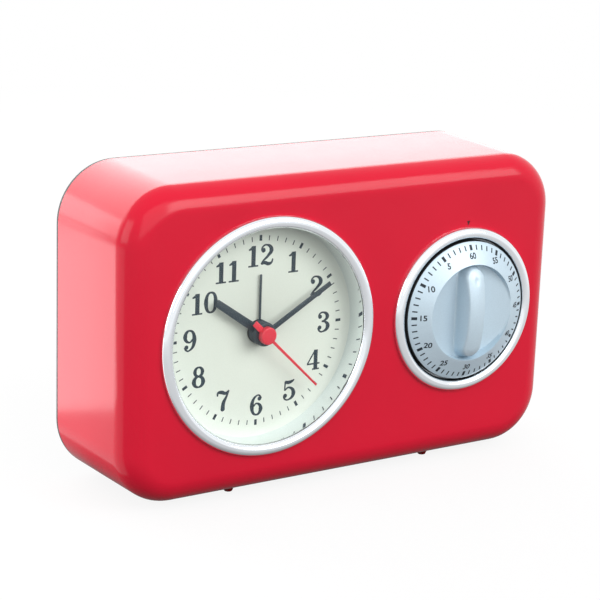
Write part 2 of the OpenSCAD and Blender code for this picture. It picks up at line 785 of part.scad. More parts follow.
// Countersunk screw from the pan's front into the movement, hidden behind the dial
module pan_screw_seat(gap) {
    turned() polygon([[0, dial_back - gap], [pan_head_r + gap, dial_back - gap], [pan_head_r + gap, dial_back + seat_fit],
        [pan_screw_r + gap, dial_back + pan_t / 2], [pan_screw_r + gap, pan_back + gap], [0, pan_back + gap]]);
}
module pan_screws() {
    color(steel) at_clock() move_corners() difference() {
        union() {
            translate([0, run_fit, 0]) pan_screw_seat(-run_fit);
            rod(pan_screw_r - run_fit, pan_back - pan_t / 2, pan_back + pan_screw_in);
        }
        slab(dial_back - overcut, dial_back + pan_t / 4) square([3 * pan_head_r, slot_w], center = true);
    }
}
module nut(d) { slab(d, d + nut_t) difference() { circle(nut_w / 2, $fn = 6); circle(stud_r + run_fit); } }
module pan_nuts() { color(steel) at_case() pan_studs() nut(wall + pan_ear_t); }

// Hands, drawn towards twelve and turned clockwise to their time
module pointing(angle) { rotate([0, angle, 0]) children(); }
module hand_boss(d, bore) { pipe(hand_boss_r, bore, d, d + hand_boss_h); }
module blade(length, root_w, tip_w, bore, d) {
    slab(d, d + blade_t) difference() {
        polygon([[-root_w / 2, 0], [root_w / 2, 0], [tip_w / 2, length], [-tip_w / 2, length]]);
        circle(bore);
    }
}
module alarm_hand() {
    color(slate) at_clock() pointing(alarm_angle) {
        hand_boss(alarm_boss_d, alarm_r);
        blade(alarm_len, alarm_w, alarm_w, alarm_r, alarm_boss_d + hand_boss_h - blade_t);
    }
}
module hour_hand() {
    color(slate) at_clock() pointing(hour_angle) {
        hand_boss(hour_boss_d, hour_r);
        blade(hour_len, hour_w, hour_w * 0.85, hour_r, hour_boss_d + (hand_boss_h - blade_t) / 2);
    }
}
module minute_hand() {
    color(slate) at_clock() pointing(minute_angle) {
        hand_boss(minute_boss_d, minute_r);
        blade(minute_len, minute_w, minute_w * 0.9, minute_r, minute_boss_d + (hand_boss_h - blade_t) / 2);
    }
}
module second_hand() {
    color("#e03a50") at_clock() pointing(second_angle) {
        blade_d = second_boss_d + hand_boss_h - blade_t;
        difference() {
            turned() polygon([[0, cap_d], [cap_r - cap_edge, cap_d], [cap_r, cap_d + cap_edge],
                [cap_r, blade_d + blade_t / 2], [0, blade_d + blade_t / 2]]);
            rod(second_arbor_r, second_boss_d, rear_d);
        }
        slab(blade_d, blade_d + blade_t) difference() {
            union() {
                polygon([[-tail_w / 4, 0], [tail_w / 4, 0], [second_w / 2, second_len],
                    [-second_w / 2, second_len]]);
                translate([-tail_w / 2, -second_tail]) square([tail_w, second_tail]);
                circle(cap_r);
            }
            circle(second_arbor_r);
        }
    }
}

// Movement housing
module move_corners() {
    for (x = [-1, 1], z = [-1, 1]) translate([x * move_screw_at, 0, z * move_screw_at]) children();
}
module bearing(at, r, d0, d1) { translate(at) rod(r + run_fit, d0, d1); }
module movement_front() {
    color(black_plastic) at_clock() difference() {
        union() {
            slab(pan_back, gear_d) round_rect(move_w, move_w, move_corner);
            rod(bush_r, bush_d, gear_d);
            move_corners() rod(boss_r, gear_d - front_t / 2, middle_d);
        }
        rod(bush_bore, bush_d - overcut, gear_d + overcut);
        move_corners() {
            rod(pan_screw_r, middle_d - boss_hole, middle_d + overcut);
            rod(pan_screw_r, pan_back - overcut, pan_back + pan_screw_in + slide_fit);
        }
        bearing(inter_at, arbor_r, gear_d - pivot, gear_d + overcut);
        bearing(alarm_at, arbor_r, gear_d - pivot, gear_d + overcut);
    }
}
module middle_plate() {
    color(black_plastic) at_clock() difference() {
        slab(middle_d, middle_d + middle_t) round_rect(move_in - 2 * plate_gap, move_in - 2 * plate_gap, move_corner - move_wall);
        rod(minute_r + slide_fit, middle_d - overcut, middle_d + middle_t + overcut);
        move_corners() rod(pan_screw_r + seat_fit, middle_d - overcut, middle_d + middle_t + overcut);
        for (p = [inter_at, alarm_at]) bearing(p, stem_r, middle_d - overcut, middle_d + middle_t + overcut);
        for (p = [third_at, fifth_at, rotor_at])
            bearing(p, arbor_r, middle_d + middle_t - pivot, middle_d + middle_t + overcut);
    }
}
module movement_rear() {
    color(black_plastic) at_clock() difference() {
        union() {
            difference() {
                slab(gear_d, move_back) round_rect(move_w, move_w, move_corner);
                slab(gear_d - overcut, floor_d) round_rect(move_in, move_in, move_corner - move_wall);
            }
            move_corners() rod(boss_r, middle_d + middle_t, floor_d + overcut);
            for (x = [-1, 1]) translate([x * (board_w / 2 - board_edge), 0, board_z])
                rod(peg_r, board_d + board_t, floor_d + overcut);
            for (x = [-1, 1]) translate(coil_at + [x * (stator_w - stator_leg) / 2, 0, peg_rise])
                rod(peg_r, stator_d + stator_t, floor_d + overcut);
        }
        move_corners() rod(pan_screw_r + seat_fit, middle_d, move_back + overcut);
        rod(second_arbor_r + run_fit, floor_d - overcut, floor_d + pivot);
        for (p = [third_at, fifth_at, rotor_at]) bearing(p, arbor_r, floor_d - overcut, floor_d + pivot);
        for (p = [inter_at, alarm_at]) bearing(p, stem_r, floor_d - overcut, move_back + overcut);
        for (x = lead_entry_x) translate([x, 0, lead_entry_z])
            rod(lead_r + slide_fit, floor_d - overcut, move_back + overcut);
    }
}
module movement_screws() {
    color(steel) at_clock() move_corners() {
        rod(pan_screw_r - run_fit, middle_d - boss_hole + slide_fit, move_back);
        difference() {
            rod(pan_head_r, move_back, move_back + head_t);
            slab(move_back + head_t / 2, move_back + 2 * head_t) square([3 * pan_head_r, slot_w], center = true);
        }
    }
}
module stator() {
    notch_w = stator_w - 2 * stator_leg;
    foot = coil_drop + coil_core / 2;
    color(steel) at_clock() slab(stator_d, stator_d + stator_t) difference() {
        translate([rotor_at[0], rotor_at[2]]) difference() {
            translate([-stator_w / 2, -foot]) square([stator_w, foot + stator_h / 2]);
            translate([-notch_w / 2, -foot - overcut]) square([notch_w, foot + overcut - stator_h / 2]);
            circle(magnet_r + magnet_gap);
        }
        for (hole = [[fifth_at, arbor_r], [alarm_at, stem_r]])
            translate([hole[0][0], hole[0][2]]) circle(hole[1] + 2 * slide_fit);
    }
}
module drive_coil() {
    color("#b0683c") at_clock() translate(coil_at) {
        translate([-coil_len / 2, stator_d - coil_lift, 0]) rotate([0, 90, 0]) cylinder(r = coil_r, h = coil_len);
        translate([-stator_w / 2, stator_d - stator_t, -coil_core / 2]) cube([stator_w, stator_t, coil_core]);
    }
}
module circuit_board() {
    color("#2c6a44") at_clock() slab(board_d, board_d + board_t)
        translate([0, board_z]) square([board_w, board_h], center = true);
}
module quartz_crystal() {
    color(steel) at_clock() translate([-crystal_len / 2, board_d - crystal_r - run_fit, board_z + lead_drop])
        rotate([0, 90, 0]) cylinder(r = crystal_r, h = crystal_len);
}
module buzzer() {
    color(brass) at_case() translate([buzzer_at[0], 0, buzzer_at[1]]) {
        rod(buzzer_r, plug_d - buzzer_lift - disc_t, plug_d - buzzer_lift);
        rod(buzzer_r - 2 * wall, plug_d - buzzer_lift - 2 * disc_t, plug_d - buzzer_lift - disc_t);
        pipe(buzzer_r, buzzer_r - wall, plug_d - buzzer_lift, plug_d);
    }
}

// Running train
module second_wheel() {
    color(acetal) at_clock() {
        rod(second_arbor_r, second_boss_d, floor_d + pivot);
        wheel(second_n, fifth_m, 0, second_d, second_d + fine_t);
        wheel(second_pinion_n, third_m, 0, third_d - pinion_end, second_d);
    }
}
module third_wheel() {
    color(acetal) at_clock() translate(third_at) {
        rod(arbor_r, middle_d + middle_t - pivot, floor_d + pivot);
        wheel(third_n, third_m, third_phase, third_d, third_d + fine_t);
        wheel(third_pinion_n, centre_m, third_phase, centre_d - pinion_end, third_d);
    }
}
module centre_wheel() {
    color(acetal) at_clock() difference() {
        union() {
            wheel(centre_n, centre_m, centre_phase, centre_d, centre_d + fine_t);
            rod(minute_r + hub_wall, centre_d - layer_gap / 2, centre_d + fine_t);
        }
        rod(minute_r + run_fit, centre_d - overcut, centre_d + fine_t + overcut);
    }
}
module fifth_wheel() {
    color(acetal) at_clock() translate(fifth_at) {
        rod(arbor_r, middle_d + middle_t - pivot, floor_d + pivot);
        wheel(fifth_pinion_n, fifth_m, fifth_phase, second_d - pinion_end, fifth_d);
        wheel(fifth_n, rotor_m, fifth_phase, fifth_d, fifth_d + fine_t);
    }
}
module rotor() {
    color(steel) at_clock() translate(rotor_at) {
        rod(arbor_r, middle_d + middle_t - pivot, floor_d + pivot);
        wheel(rotor_n, rotor_m, rotor_phase, fifth_d - pinion_end, rotor_d);
        rod(magnet_r, rotor_d, rotor_d + magnet_t);
    }
}

// Setting train
module cannon_pinion() {
    color(brass) at_clock() difference() {
        union() {
            rod(minute_r, minute_boss_d, centre_d + fine_t + pinion_end);
            wheel(cannon_n, inter_m, 0, inter_d - pinion_end, inter_d + wheel_t + pinion_end);
        }
        rod(minute_bore, minute_boss_d - overcut, centre_d + fine_t + overcut);
    }
}
module intermediate_wheel() {
    color(acetal) at_clock() translate(inter_at) {
        rod(arbor_r, gear_d - pivot, inter_d);
        wheel(inter_pinion_n, hour_m, inter_phase, hour_d - pinion_end, inter_d);
        wheel(inter_n, inter_m, inter_phase, inter_d, inter_d + wheel_t);
        rod(stem_r, inter_d + wheel_t, knob_end_d - set_knob_cap);
    }
}
module hour_wheel() {
    color(acetal) at_clock() difference() {
        union() {
            rod(hour_r, hour_boss_d, hour_d + wheel_t);
            wheel(hour_n, hour_m, hour_phase, hour_d, hour_d + wheel_t);
        }
        rod(hour_bore, hour_boss_d - overcut, hour_d + wheel_t + overcut);
    }
}
module alarm_wheel() {
    color(acetal) at_clock() difference() {
        union() {
            rod(alarm_r, alarm_boss_d, alarm_d + wheel_t);
            wheel(alarm_n, alarm_m, 0, alarm_d, alarm_d + wheel_t);
        }
        rod(alarm_bore, alarm_boss_d - overcut, alarm_d + wheel_t + overcut);
    }
}
module alarm_set_pinion() {
    color(acetal) at_clock() translate(alarm_at) {
        rod(arbor_r, gear_d - pivot, alarm_d);
        wheel(alarm_pinion_n, alarm_m, alarm_phase, alarm_d - pinion_end, alarm_d + wheel_t + pinion_end);
        rod(stem_r, alarm_d + wheel_t, knob_end_d - set_knob_cap);
    }
}
module set_knob() {
    knob_d = rear_d + set_knob_gap;
    difference() {
        turned() polygon([[0, knob_d], [set_knob_r - knob_edge, knob_d], [set_knob_r, knob_d + knob_edge],
            [set_knob_r - knob_edge / 2, knob_end_d - knob_edge], [set_knob_r - 2 * knob_edge, knob_end_d],
            [0, knob_end_d]]);
        rod(stem_r, knob_d - overcut, knob_end_d - set_knob_cap);
        for (i = [0:flutes - 1]) translate(polar(set_knob_r + flute_r / 2, i * 360 / flutes))
            rod(flute_r, knob_d - overcut, knob_end_d + overcut);
    }
}
module time_set_knob() { color(black_plastic) at_clock() translate(inter_at) set_knob(); }
module alarm_set_knob() { color(black_plastic) at_clock() translate(alarm_at) set_knob(); }

// Alarm switch
module at_switch() { at_case() translate([switch_at[0], 0, switch_at[1]]) children(); }
module alarm_switch_body() {
    color(steel) at_switch() difference() {
        slab(plug_d - switch_depth, plug_d) square([switch_w, switch_h], center = true);
        slab(plug_d - slider_foot - slide_fit, plug_d + overcut)
            square([slider_w + 2 * slider_lip + 2 * slide_fit,
                slider_h + switch_travel + 2 * slider_lip + 2 * slide_fit], center = true);
    }
}
module alarm_switch_slider() {
    color(black_plastic) at_switch() translate([0, 0, -switch_travel / 2]) {
        slab(plug_d - slider_foot, plug_d - slide_fit)
            square([slider_w + 2 * slider_lip, slider_h + 2 * slider_lip], center = true);
        slab(plug_d - slide_fit, rear_d + slider_lift) square([slider_w, slider_h], center = true);
    }
}

// Battery
module battery_cell() {
    color("#58606a") at_case() translate([-cell_len / 2 - nub_len / 2, cell_d, cell_z]) rotate([0, 90, 0]) {
        cylinder(r = cell_r, h = cell_len);
        cylinder(r = nub_r, h = cell_len + nub_len);
    }
}
module contact_plate(x) {
    translate([x, cell_d - contact_w / 2, cell_z - contact_w / 2]) cube([contact_t, contact_w, contact_w]);
}
module battery_contact_plus() {
    face_x = (cell_len + nub_len) / 2 + seat_fit;
    color(steel) at_case() {
        contact_plate(bay_len / 2 - contact_t);
        translate([face_x, cell_d - tongue_w / 2, cell_z - tongue_w / 2]) {
            cube([bay_len / 2 - face_x, tongue_w, contact_t]);
            cube([contact_t, tongue_w, tongue_w]);
        }
    }
}
module battery_contact_minus() {
    color(steel) at_case() {
        contact_plate(-bay_len / 2);
        translate([-bay_len / 2, cell_d, cell_z]) rotate([0, 90, 0])
            cylinder(r1 = cone_r, r2 = nub_r, h = contact_space - seat_fit);
    }
}
module battery_door() {
    ribs = 5;
    color(black_plastic) at_case() translate([0, 0, cell_z]) difference() {
        slab(door_d, rear_d) square([door_w, door_h], center = true);
        for (i = [0:ribs - 1]) slab(rear_d - rib_depth, rear_d + overcut)
            translate([door_w / 2 - rib_side - 2 * rib_w * i, 0]) square([rib_w, door_h / 2], center = true);
    }
}
// Leads swept along their points with flat-sided rings
module lead(points) {
    sides = 8;
    last = len(points) - 1;
    along = [for (i = [0:last]) let (v = points[min(last, i + 1)] - points[max(0, i - 1)]) v / norm(v)];
    ring = [for (i = [0:last], k = [0:sides - 1])
        let (t = along[i], s = abs(t[2]) < 0.9 ? [0, 0, 1] : [1, 0, 0], u = cross(t, s) / norm(cross(t, s)),
            v = cross(u, t))
        points[i] + lead_r * (u * cos(360 * k / sides) + v * sin(360 * k / sides))];
    polyhedron(ring, concat(
        [[for (k = [0:sides - 1]) k]],
        [for (i = [0:last - 1], k = [0:sides - 1]) let (a = i * sides + k, b = i * sides + (k + 1) % sides)
            for (f = [[b, a, a + sides], [b, a + sides, b + sides]]) f],
        [[for (k = [sides - 1:-1:0]) last * sides + k]]));
}
// A lead leaves the bay through its top, runs up behind the movement and ends on the circuit board
function lead_route(side, entry) =
    let (x0 = side * lead_exit_x, x1 = clock_x + entry, z1 = axis_z + lead_entry_z, top = cell_z + bay_h / 2)
    [[x0, lead_d, cell_z + 3.5], [x0, lead_d, top + bay_wall + 1], [x0 + (x1 - x0) * 0.15, lead_d, top + 9],
        [x0 + (x1 - x0) * 0.8, lead_d, axis_z - 8], [x1, lead_d, z1 - 6], [x1, lead_d, z1 - 1.6],
        [x1, lead_d - 0.8, z1 - 0.3], [x1, move_back + 1, z1], [x1, board_d + board_t + 0.1, z1]];
module battery_leads() {
    color("#b02020") at_case() {
        lead(lead_route(1, lead_entry_x[0]));
        lead(lead_route(-1, lead_entry_x[1]));
    }
}

// Timer front
module timer_bezel() {
    color(chrome) at_timer()
        bezel(ring_r, ring_bead, ring_rise, ring_tube_r, plate_depth, ring_tube_r - tube_wall, -ring_rise / 2);
}
module timer_clamp_ring() {
    color(black_plastic) at_timer() slab(wall, plate_depth) difference() {
        union() {
            circle(clamp_r);
            ears(timer_ear_at, timer_ear_angles);
        }
        circle(ring_tube_r + seat_fit);
        ear_holes(timer_ear_at, timer_ear_angles);
    }
}
// The knob is a cone with a flat face, scooped on both sides of its grip by long round cuts
module knob_profile() {
    polygon([[0, knob_back], [knob_r - knob_step, knob_back], [knob_r, -skirt_lift], [dish_r, -rim_lift],
        [0, -rim_lift]]);
}
module finger_scoops() {
    intersection() {
        rod(dish_r - rim_land, -rim_lift - overcut, knob_back);
        for (side = [-1, 1]) translate([side * scoop_at, -dish_lift - scoop_r, -dish_r - overcut])
            cylinder(r = scoop_r, h = 2 * (dish_r + overcut), $fn = 180);
    }
}
module grip() {
    arch_r = (pow(grip_len / 2, 2) + pow(crest_fall, 2)) / (2 * crest_fall);
    intersection() {
        translate([0, 0, -grip_len / 2]) linear_extrude(grip_len)
            polygon([[-grip_w / 2, -skirt_lift], [grip_w / 2, -skirt_lift], [crest_w / 2, -crest_lift],
                [-crest_w / 2, -crest_lift]]);
        translate([-grip_w, arch_r - crest_lift, 0]) rotate([0, 90, 0])
            cylinder(r = arch_r, h = 2 * grip_w, $fn = 180);
        rod(grip_len / 2, -crest_lift - overcut, knob_back);
    }
}
module timer_knob() {
    color("#c8dce6") at_timer() difference() {
        union() {
            difference() {
                turned() knob_profile();
                finger_scoops();
            }
            grip();
            rod(main_arbor_r + knob_hub, -skirt_lift, plate_depth - overcut);
        }
        rod(main_arbor_r, -dish_lift - arbor_in, plate_depth);
    }
}

// Timer works
module works_hole(at, r, d0) { translate(at) rod(r + run_fit, d0 - overcut, d0 + plate_t + overcut); }
module works_holes(d0) {
    works_hole([0, 0, 0], main_arbor_r, d0);
    for (p = [timer_second_at, timer_third_at, escape_at, balance_at, hammer_pivot])
        works_hole(p, timer_arbor_r, d0);
    for (a = pillar_angles) works_hole(polar(pillar_at, a), pillar_r - pillar_step, d0);
}
module timer_front_plate() {
    color(steel) at_timer() difference() {
        slab(plate_depth, plate_back) difference() {
            union() {
                circle(clamp_r);
                ears(timer_ear_at, timer_ear_angles);
            }
            ear_holes(timer_ear_at, timer_ear_angles);
        }
        works_holes(plate_depth);
    }
}
module timer_rear_plate() {
    color(steel) at_timer() difference() {
        rod(plate_r, rear_plate_d, rear_plate_back);
        works_holes(rear_plate_d);
    }
}
module timer_pillars() {
    color(brass) at_timer() for (a = pillar_angles) translate(polar(pillar_at, a)) {
        rod(pillar_r, plate_back, rear_plate_d);
        rod(pillar_r - pillar_step, plate_depth, rear_plate_back);
    }
}
module timer_nuts() { color(steel) at_case() timer_studs() nut(plate_back); }
module mainspring() {
    color("#6e7680") at_timer() slab(spring_d, spring_d + spring_w)
        polygon(spiral_points(hub_r + slide_fit, spring_r, spring_turns, spring_t, 180));
}
module timer_arbor() {
    color(steel) at_timer() {
        rod(main_arbor_r, -dish_lift - arbor_in + seat_fit, rear_plate_back - seat_fit);
        rod(hub_r, plate_back + seat_fit, spring_d + spring_w);
        slab(main_d - timer_gap + seat_fit, main_d - seat_fit)
            polygon(saw_points(ratchet_n, ratchet_r - ratchet_h, ratchet_r, 2));
    }
}
module timer_main_wheel() {
    color(acetal) at_timer() difference() {
        union() {
            wheel(main_n, main_m, 0, main_d, main_d + timer_wheel_t);
            rod(main_arbor_r + hub_wall, main_d, main_d + timer_wheel_t + timer_gap / 2);
            translate(polar(ratchet_r + 2 * pawl_r, 90)) rod(pawl_r, main_d - timer_gap + seat_fit, main_d + seat_fit);
        }
        rod(main_arbor_r + run_fit, main_d - overcut, main_d + timer_wheel_t + overcut);
    }
}
module train_wheel(at, pinion_m, wheel_n, wheel_m, phase, pinion_d, wheel_d) {
    color(acetal) at_timer() translate(at) {
        rod(timer_arbor_r, plate_depth, rear_plate_back);
        wheel(timer_pinion_n, pinion_m, phase, pinion_d - timer_pinion_end, wheel_d);
        wheel(wheel_n, wheel_m, phase, wheel_d, wheel_d + timer_wheel_t);
    }
}
module timer_second_wheel() {
    train_wheel(timer_second_at, main_m, timer_second_n, timer_second_m, timer_second_phase, main_d,
        timer_second_d);
}
module timer_third_wheel() {
    train_wheel(timer_third_at, timer_second_m, timer_third_n, timer_third_m, timer_third_phase,
        timer_second_d, timer_third_d);
}
module timer_escape_wheel() {
    color(brass) at_timer() translate(escape_at) {
        rod(timer_arbor_r, plate_depth, rear_plate_back);
        wheel(timer_pinion_n, timer_third_m, escape_phase, timer_third_d - timer_pinion_end, escape_d);
        slab(escape_d, escape_d + timer_wheel_t) polygon(saw_points(escape_n, escape_r - 1.5, escape_r, 5));
    }
}
module timer_balance() {
    pallet_at = balance_reach - escape_r - pallet_gap;
    color(steel) at_timer() translate(balance_at) {
        rod(timer_arbor_r, plate_depth, rear_plate_back);
        slab(escape_d - pinion_end, escape_d + timer_wheel_t + pinion_end) {
            circle(1.6);
            for (s = [-1, 1]) polygon([[0, -0.6 * s], [-pallet_at, 3.2 * s], [-pallet_at + 0.2, 4.2 * s],
                [0.8, 1.2 * s]]);
            translate([-0.6, -5.5]) square([1.2, 11]);
        }
    }
}

// Bell: an open cup behind the rear plate on a post, struck from inside by the hammer
module bell() {
    rim = bell_r;
    back = bell_d + bell_h;
    color(brass) at_timer() difference() {
        turned() polygon([[0, bell_d], [rim, bell_d], [rim, bell_d + bell_h * 0.55], [rim - 2.5, bell_d + bell_h * 0.86],
            [rim - 6, back], [0, back]]);
        turned() polygon([[0, bell_d - overcut], [rim - bell_wall, bell_d - overcut],
            [rim - bell_wall, bell_d + bell_h * 0.52], [rim - 2.5 - bell_wall * 0.8, bell_d + bell_h * 0.86 - bell_wall],
            [rim - 6 - bell_wall * 0.4, back - bell_wall], [0, back - bell_wall]]);
        rod(bell_post_r - 0.5 + seat_fit, bell_d, back + overcut);
    }
}
module bell_post() {
    back = bell_d + bell_h;
    color(steel) at_timer() {
        rod(bell_post_r + 1.4, rear_plate_back, rear_plate_back + 0.9);
        rod(bell_post_r, rear_plate_back, back - bell_wall);
        rod(bell_post_r - 0.5, back - bell_wall, back + 0.4);
        rod(bell_post_r + 1.2, back, back + 1.4);
    }
}
module bell_hammer() {
    color(steel) at_timer() {
        translate(hammer_pivot) {
            rod(timer_arbor_r, plate_depth, hammer_d + hammer_t);
            rod(1.4, hammer_d, hammer_d + hammer_t);
        }
        slab(hammer_d, hammer_d + hammer_t) {
            v = hammer_head - hammer_pivot;
            a = atan2(v[2], v[0]);
            translate([hammer_pivot[0], hammer_pivot[2]]) rotate(a) translate([0, -0.6]) square([norm(v), 1.2]);
        }
        translate(hammer_head) rod(hammer_r, hammer_d - 0.6, hammer_d + hammer_t + 0.6);
    }
}

case_shell();
cover_posts();
rubber_feet();
back_cover();
cover_screws();
clock_bezel();
clock_lens();
clock_dial();
dial_pan();
pan_nuts();
pan_screws();
movement_front();
middle_plate();
movement_rear();
movement_screws();
stator();
drive_coil();
circuit_board();
quartz_crystal();
buzzer();
second_hand();
second_wheel();
third_wheel();
centre_wheel();
fifth_wheel();
rotor();
minute_hand();
cannon_pinion();
intermediate_wheel();
time_set_knob();
hour_hand();
hour_wheel();
alarm_hand();
alarm_wheel();
alarm_set_pinion();
alarm_set_knob();
alarm_switch_body();
alarm_switch_slider();
battery_cell();
battery_contact_plus();
battery_contact_minus();
battery_leads();
battery_door();
timer_bezel();
timer_clamp_ring();
timer_front_plate();
timer_rear_plate();
timer_pillars();
timer_nuts();
mainspring();
timer_knob();
timer_arbor();
timer_main_wheel();
timer_second_wheel();
timer_third_wheel();
timer_escape_wheel();
timer_balance();
bell();
bell_post();
bell_hammer();
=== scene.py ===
"""Looks of a retro kitchen clock: enamelled case, chrome rings, glazed dial and clockwork timer knob."""

import math

import bmesh
import bpy
from bpy.props import FloatProperty, FloatVectorProperty, PointerProperty
from mathutils import Matrix, Vector


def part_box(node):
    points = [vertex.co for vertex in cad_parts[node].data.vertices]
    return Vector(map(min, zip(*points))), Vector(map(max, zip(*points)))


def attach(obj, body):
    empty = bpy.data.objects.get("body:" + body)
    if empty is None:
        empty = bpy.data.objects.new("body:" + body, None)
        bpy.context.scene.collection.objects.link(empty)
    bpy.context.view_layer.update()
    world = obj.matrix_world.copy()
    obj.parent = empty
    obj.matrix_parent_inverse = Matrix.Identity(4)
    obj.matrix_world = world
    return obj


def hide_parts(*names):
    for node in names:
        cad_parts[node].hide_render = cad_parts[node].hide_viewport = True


bl_info = {
    "name": "Kitchen clock",
    "version": (1, 0, 0),
    "blender": (4, 5, 0),
    "location": "3D View > Sidebar > Clock",
    "description": "Builds the visible pieces of an enamelled kitchen clock with a timer, and its studio",
    "category": "Add Mesh",
}

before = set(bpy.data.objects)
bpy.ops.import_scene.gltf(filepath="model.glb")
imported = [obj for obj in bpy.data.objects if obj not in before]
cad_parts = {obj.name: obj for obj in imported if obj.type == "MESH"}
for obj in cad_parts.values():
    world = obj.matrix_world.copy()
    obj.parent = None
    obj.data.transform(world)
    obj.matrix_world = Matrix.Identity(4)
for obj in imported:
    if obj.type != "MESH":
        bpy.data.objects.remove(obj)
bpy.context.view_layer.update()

MM = 0.001
NEAR = 1e-7  # metres between two points that are taken as one
WELD = 1e-6  # the same for swept and imported meshes
EASED = 0.08 * MM  # bevel of a thin edge
PRINT = 0.05 * MM  # how far printing stands off what carries it, thicker than real ink so that it shows
UPRIGHT = Matrix.Rotation(math.pi / 2, 4, "X")  # stands up what is drawn flat, to face the front


def middle(node):
    """Centre of a node's box, at depth 0."""
    low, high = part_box(node)
    return Vector(((low.x + high.x) / 2, 0, (low.z + high.z) / 2))


def radius_of(node):
    """Half the width of a round node."""
    low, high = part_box(node)
    return (high.x - low.x) / 2


def linear(code):
    """Linear colour of an sRGB hex value."""
    parts = [int(code[i:i + 2], 16) / 255 for i in (1, 3, 5)]
    return tuple(c / 12.92 if c <= 0.04045 else ((c + 0.055) / 1.055) ** 2.4 for c in parts)


case_low, case_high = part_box("case_shell")
FRONT = case_low.y  # the case's front face
DEPTH = case_high.y - FRONT
CLOCK = middle("clock_bezel")
TIMER = middle("timer_bezel")
DIAL_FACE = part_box("clock_dial")[0].y


# Settings that a user would change


def length(name, description, mm):
    """A size property, in metres, from millimetres."""
    return FloatProperty(name=name, description=description, default=mm * MM, min=0, unit="LENGTH",
                         precision=5)


def turn(name, description, degrees):
    """An angle property from degrees."""
    return FloatProperty(name=name, description=description, default=math.radians(degrees), subtype="ANGLE")


def colour(name, description, code):
    """A colour property from an sRGB hex value."""
    return FloatVectorProperty(name=name, description=description, default=linear(code), size=3, min=0, max=1,
                               subtype="COLOR")


def power(name, description, watts):
    """A lamp's power."""
    return FloatProperty(name=name, description=description, default=watts, min=0, unit="POWER")


class CaseSettings(bpy.types.PropertyGroup):
    """Sizes and colours of the case"""

    corner_radius: length("Corner radius", "Radius of the outline's corners at the rear edge", 20)
    edge_radius: length("Edge radius", "Radius of the rolled front edge", 8.5)
    draft: length("Draft", "How far each side leans in towards the front", 1.2)
    wall: length("Wall", "Thickness of the pressed steel", 1)
    foot_radius: length("Foot radius", "Radius of a foot where it stands", 1.4)
    foot_shoulder: length("Foot shoulder", "Radius of a foot under the case", 2.2)
    foot_side: length("Foot side", "Distance of a foot's axis from the end of its row", 2.8)
    foot_inset: length("Foot inset", "Distance of a foot from the front or rear edge", 11)
    index_rise: length("Index height", "Height of the index mark above the timer's axis", 30.4)
    index_side: length("Index side", "Distance of the index mark to the right of the timer's axis", 0.5)
    index_width: length("Index width", "Width of the index mark", 1.3)
    index_height: length("Index length", "Length of the index mark", 1.7)
    enamel: colour("Enamel", "Colour of the stoved enamel", "#D20C2E")
    cover: colour("Back cover", "Colour of the moulded back", "#1E1E21")


class ClockSettings(bpy.types.PropertyGroup):
    """Sizes and colours of the clock's front"""

    bead_width: length("Bead width", "Width of the chrome ring's bead", 4.1)
    bead_rise: length("Bead height", "Height of the chrome ring's bead", 2.1)
    numeral_height: length("Numeral height", "Height of the hour numerals", 7.05)
    numeral_radius: length("Numeral radius", "Distance of the numerals' middles from the axis", 25.3)
    tick_inner: length("Tick inner radius", "Where the minute track starts", 30.2)
    hour_tick: length("Hour tick length", "Length of the bold marks", 1.9)
    hour_tick_width: length("Hour tick width", "Width of the bold marks", 0.95)
    minute_tick: length("Minute tick length", "Length of the fine marks", 1.6)
    minute_tick_width: length("Minute tick width", "Width of the fine marks", 0.3)
    dial: colour("Dial", "Colour of the dial's lacquer", "#E4EAE0")
    ink: colour("Ink", "Colour of the printing and the hands", "#1E303B")
    second: colour("Second hand", "Colour of the second hand", "#E2283F")


class HandSettings(bpy.types.PropertyGroup):
    """Lengths, widths and times of the hands"""

    hour_length: length("Hour hand", "Length of the hour hand", 21.3)
    hour_width: length("Hour hand width", "Width of the hour hand", 2.9)
    hour_angle: turn("Hour", "Where the hour hand points, clockwise from twelve", 305)
    minute_length: length("Minute hand", "Length of the minute hand", 28.7)
    minute_width: length("Minute hand width", "Width of the minute hand", 1.8)
    minute_angle: turn("Minute", "Where the minute hand points", 60)
    alarm_length: length("Alarm hand", "Length of the alarm hand", 19.2)
    alarm_width: length("Alarm hand width", "Width of the alarm hand", 0.75)
    alarm_angle: turn("Alarm", "Where the alarm hand points", 0)
    second_length: length("Second hand", "Length of the second hand", 28)
    second_width: length("Second hand width", "Width of the second hand's tip", 0.7)
    second_tail: length("Second tail", "Length of the second hand's tail", 6.5)
    tail_width: length("Tail width", "Width of the second hand's tail", 2)
    second_angle: turn("Second", "Where the second hand points", 134.5)
    blade: length("Blade", "Thickness of a hand's blade", 0.4)
    cap_radius: length("Cap radius", "Radius of the second hand's cap", 2.9)
    boss_radius: length("Boss radius", "Radius of the hands' bosses", 4)


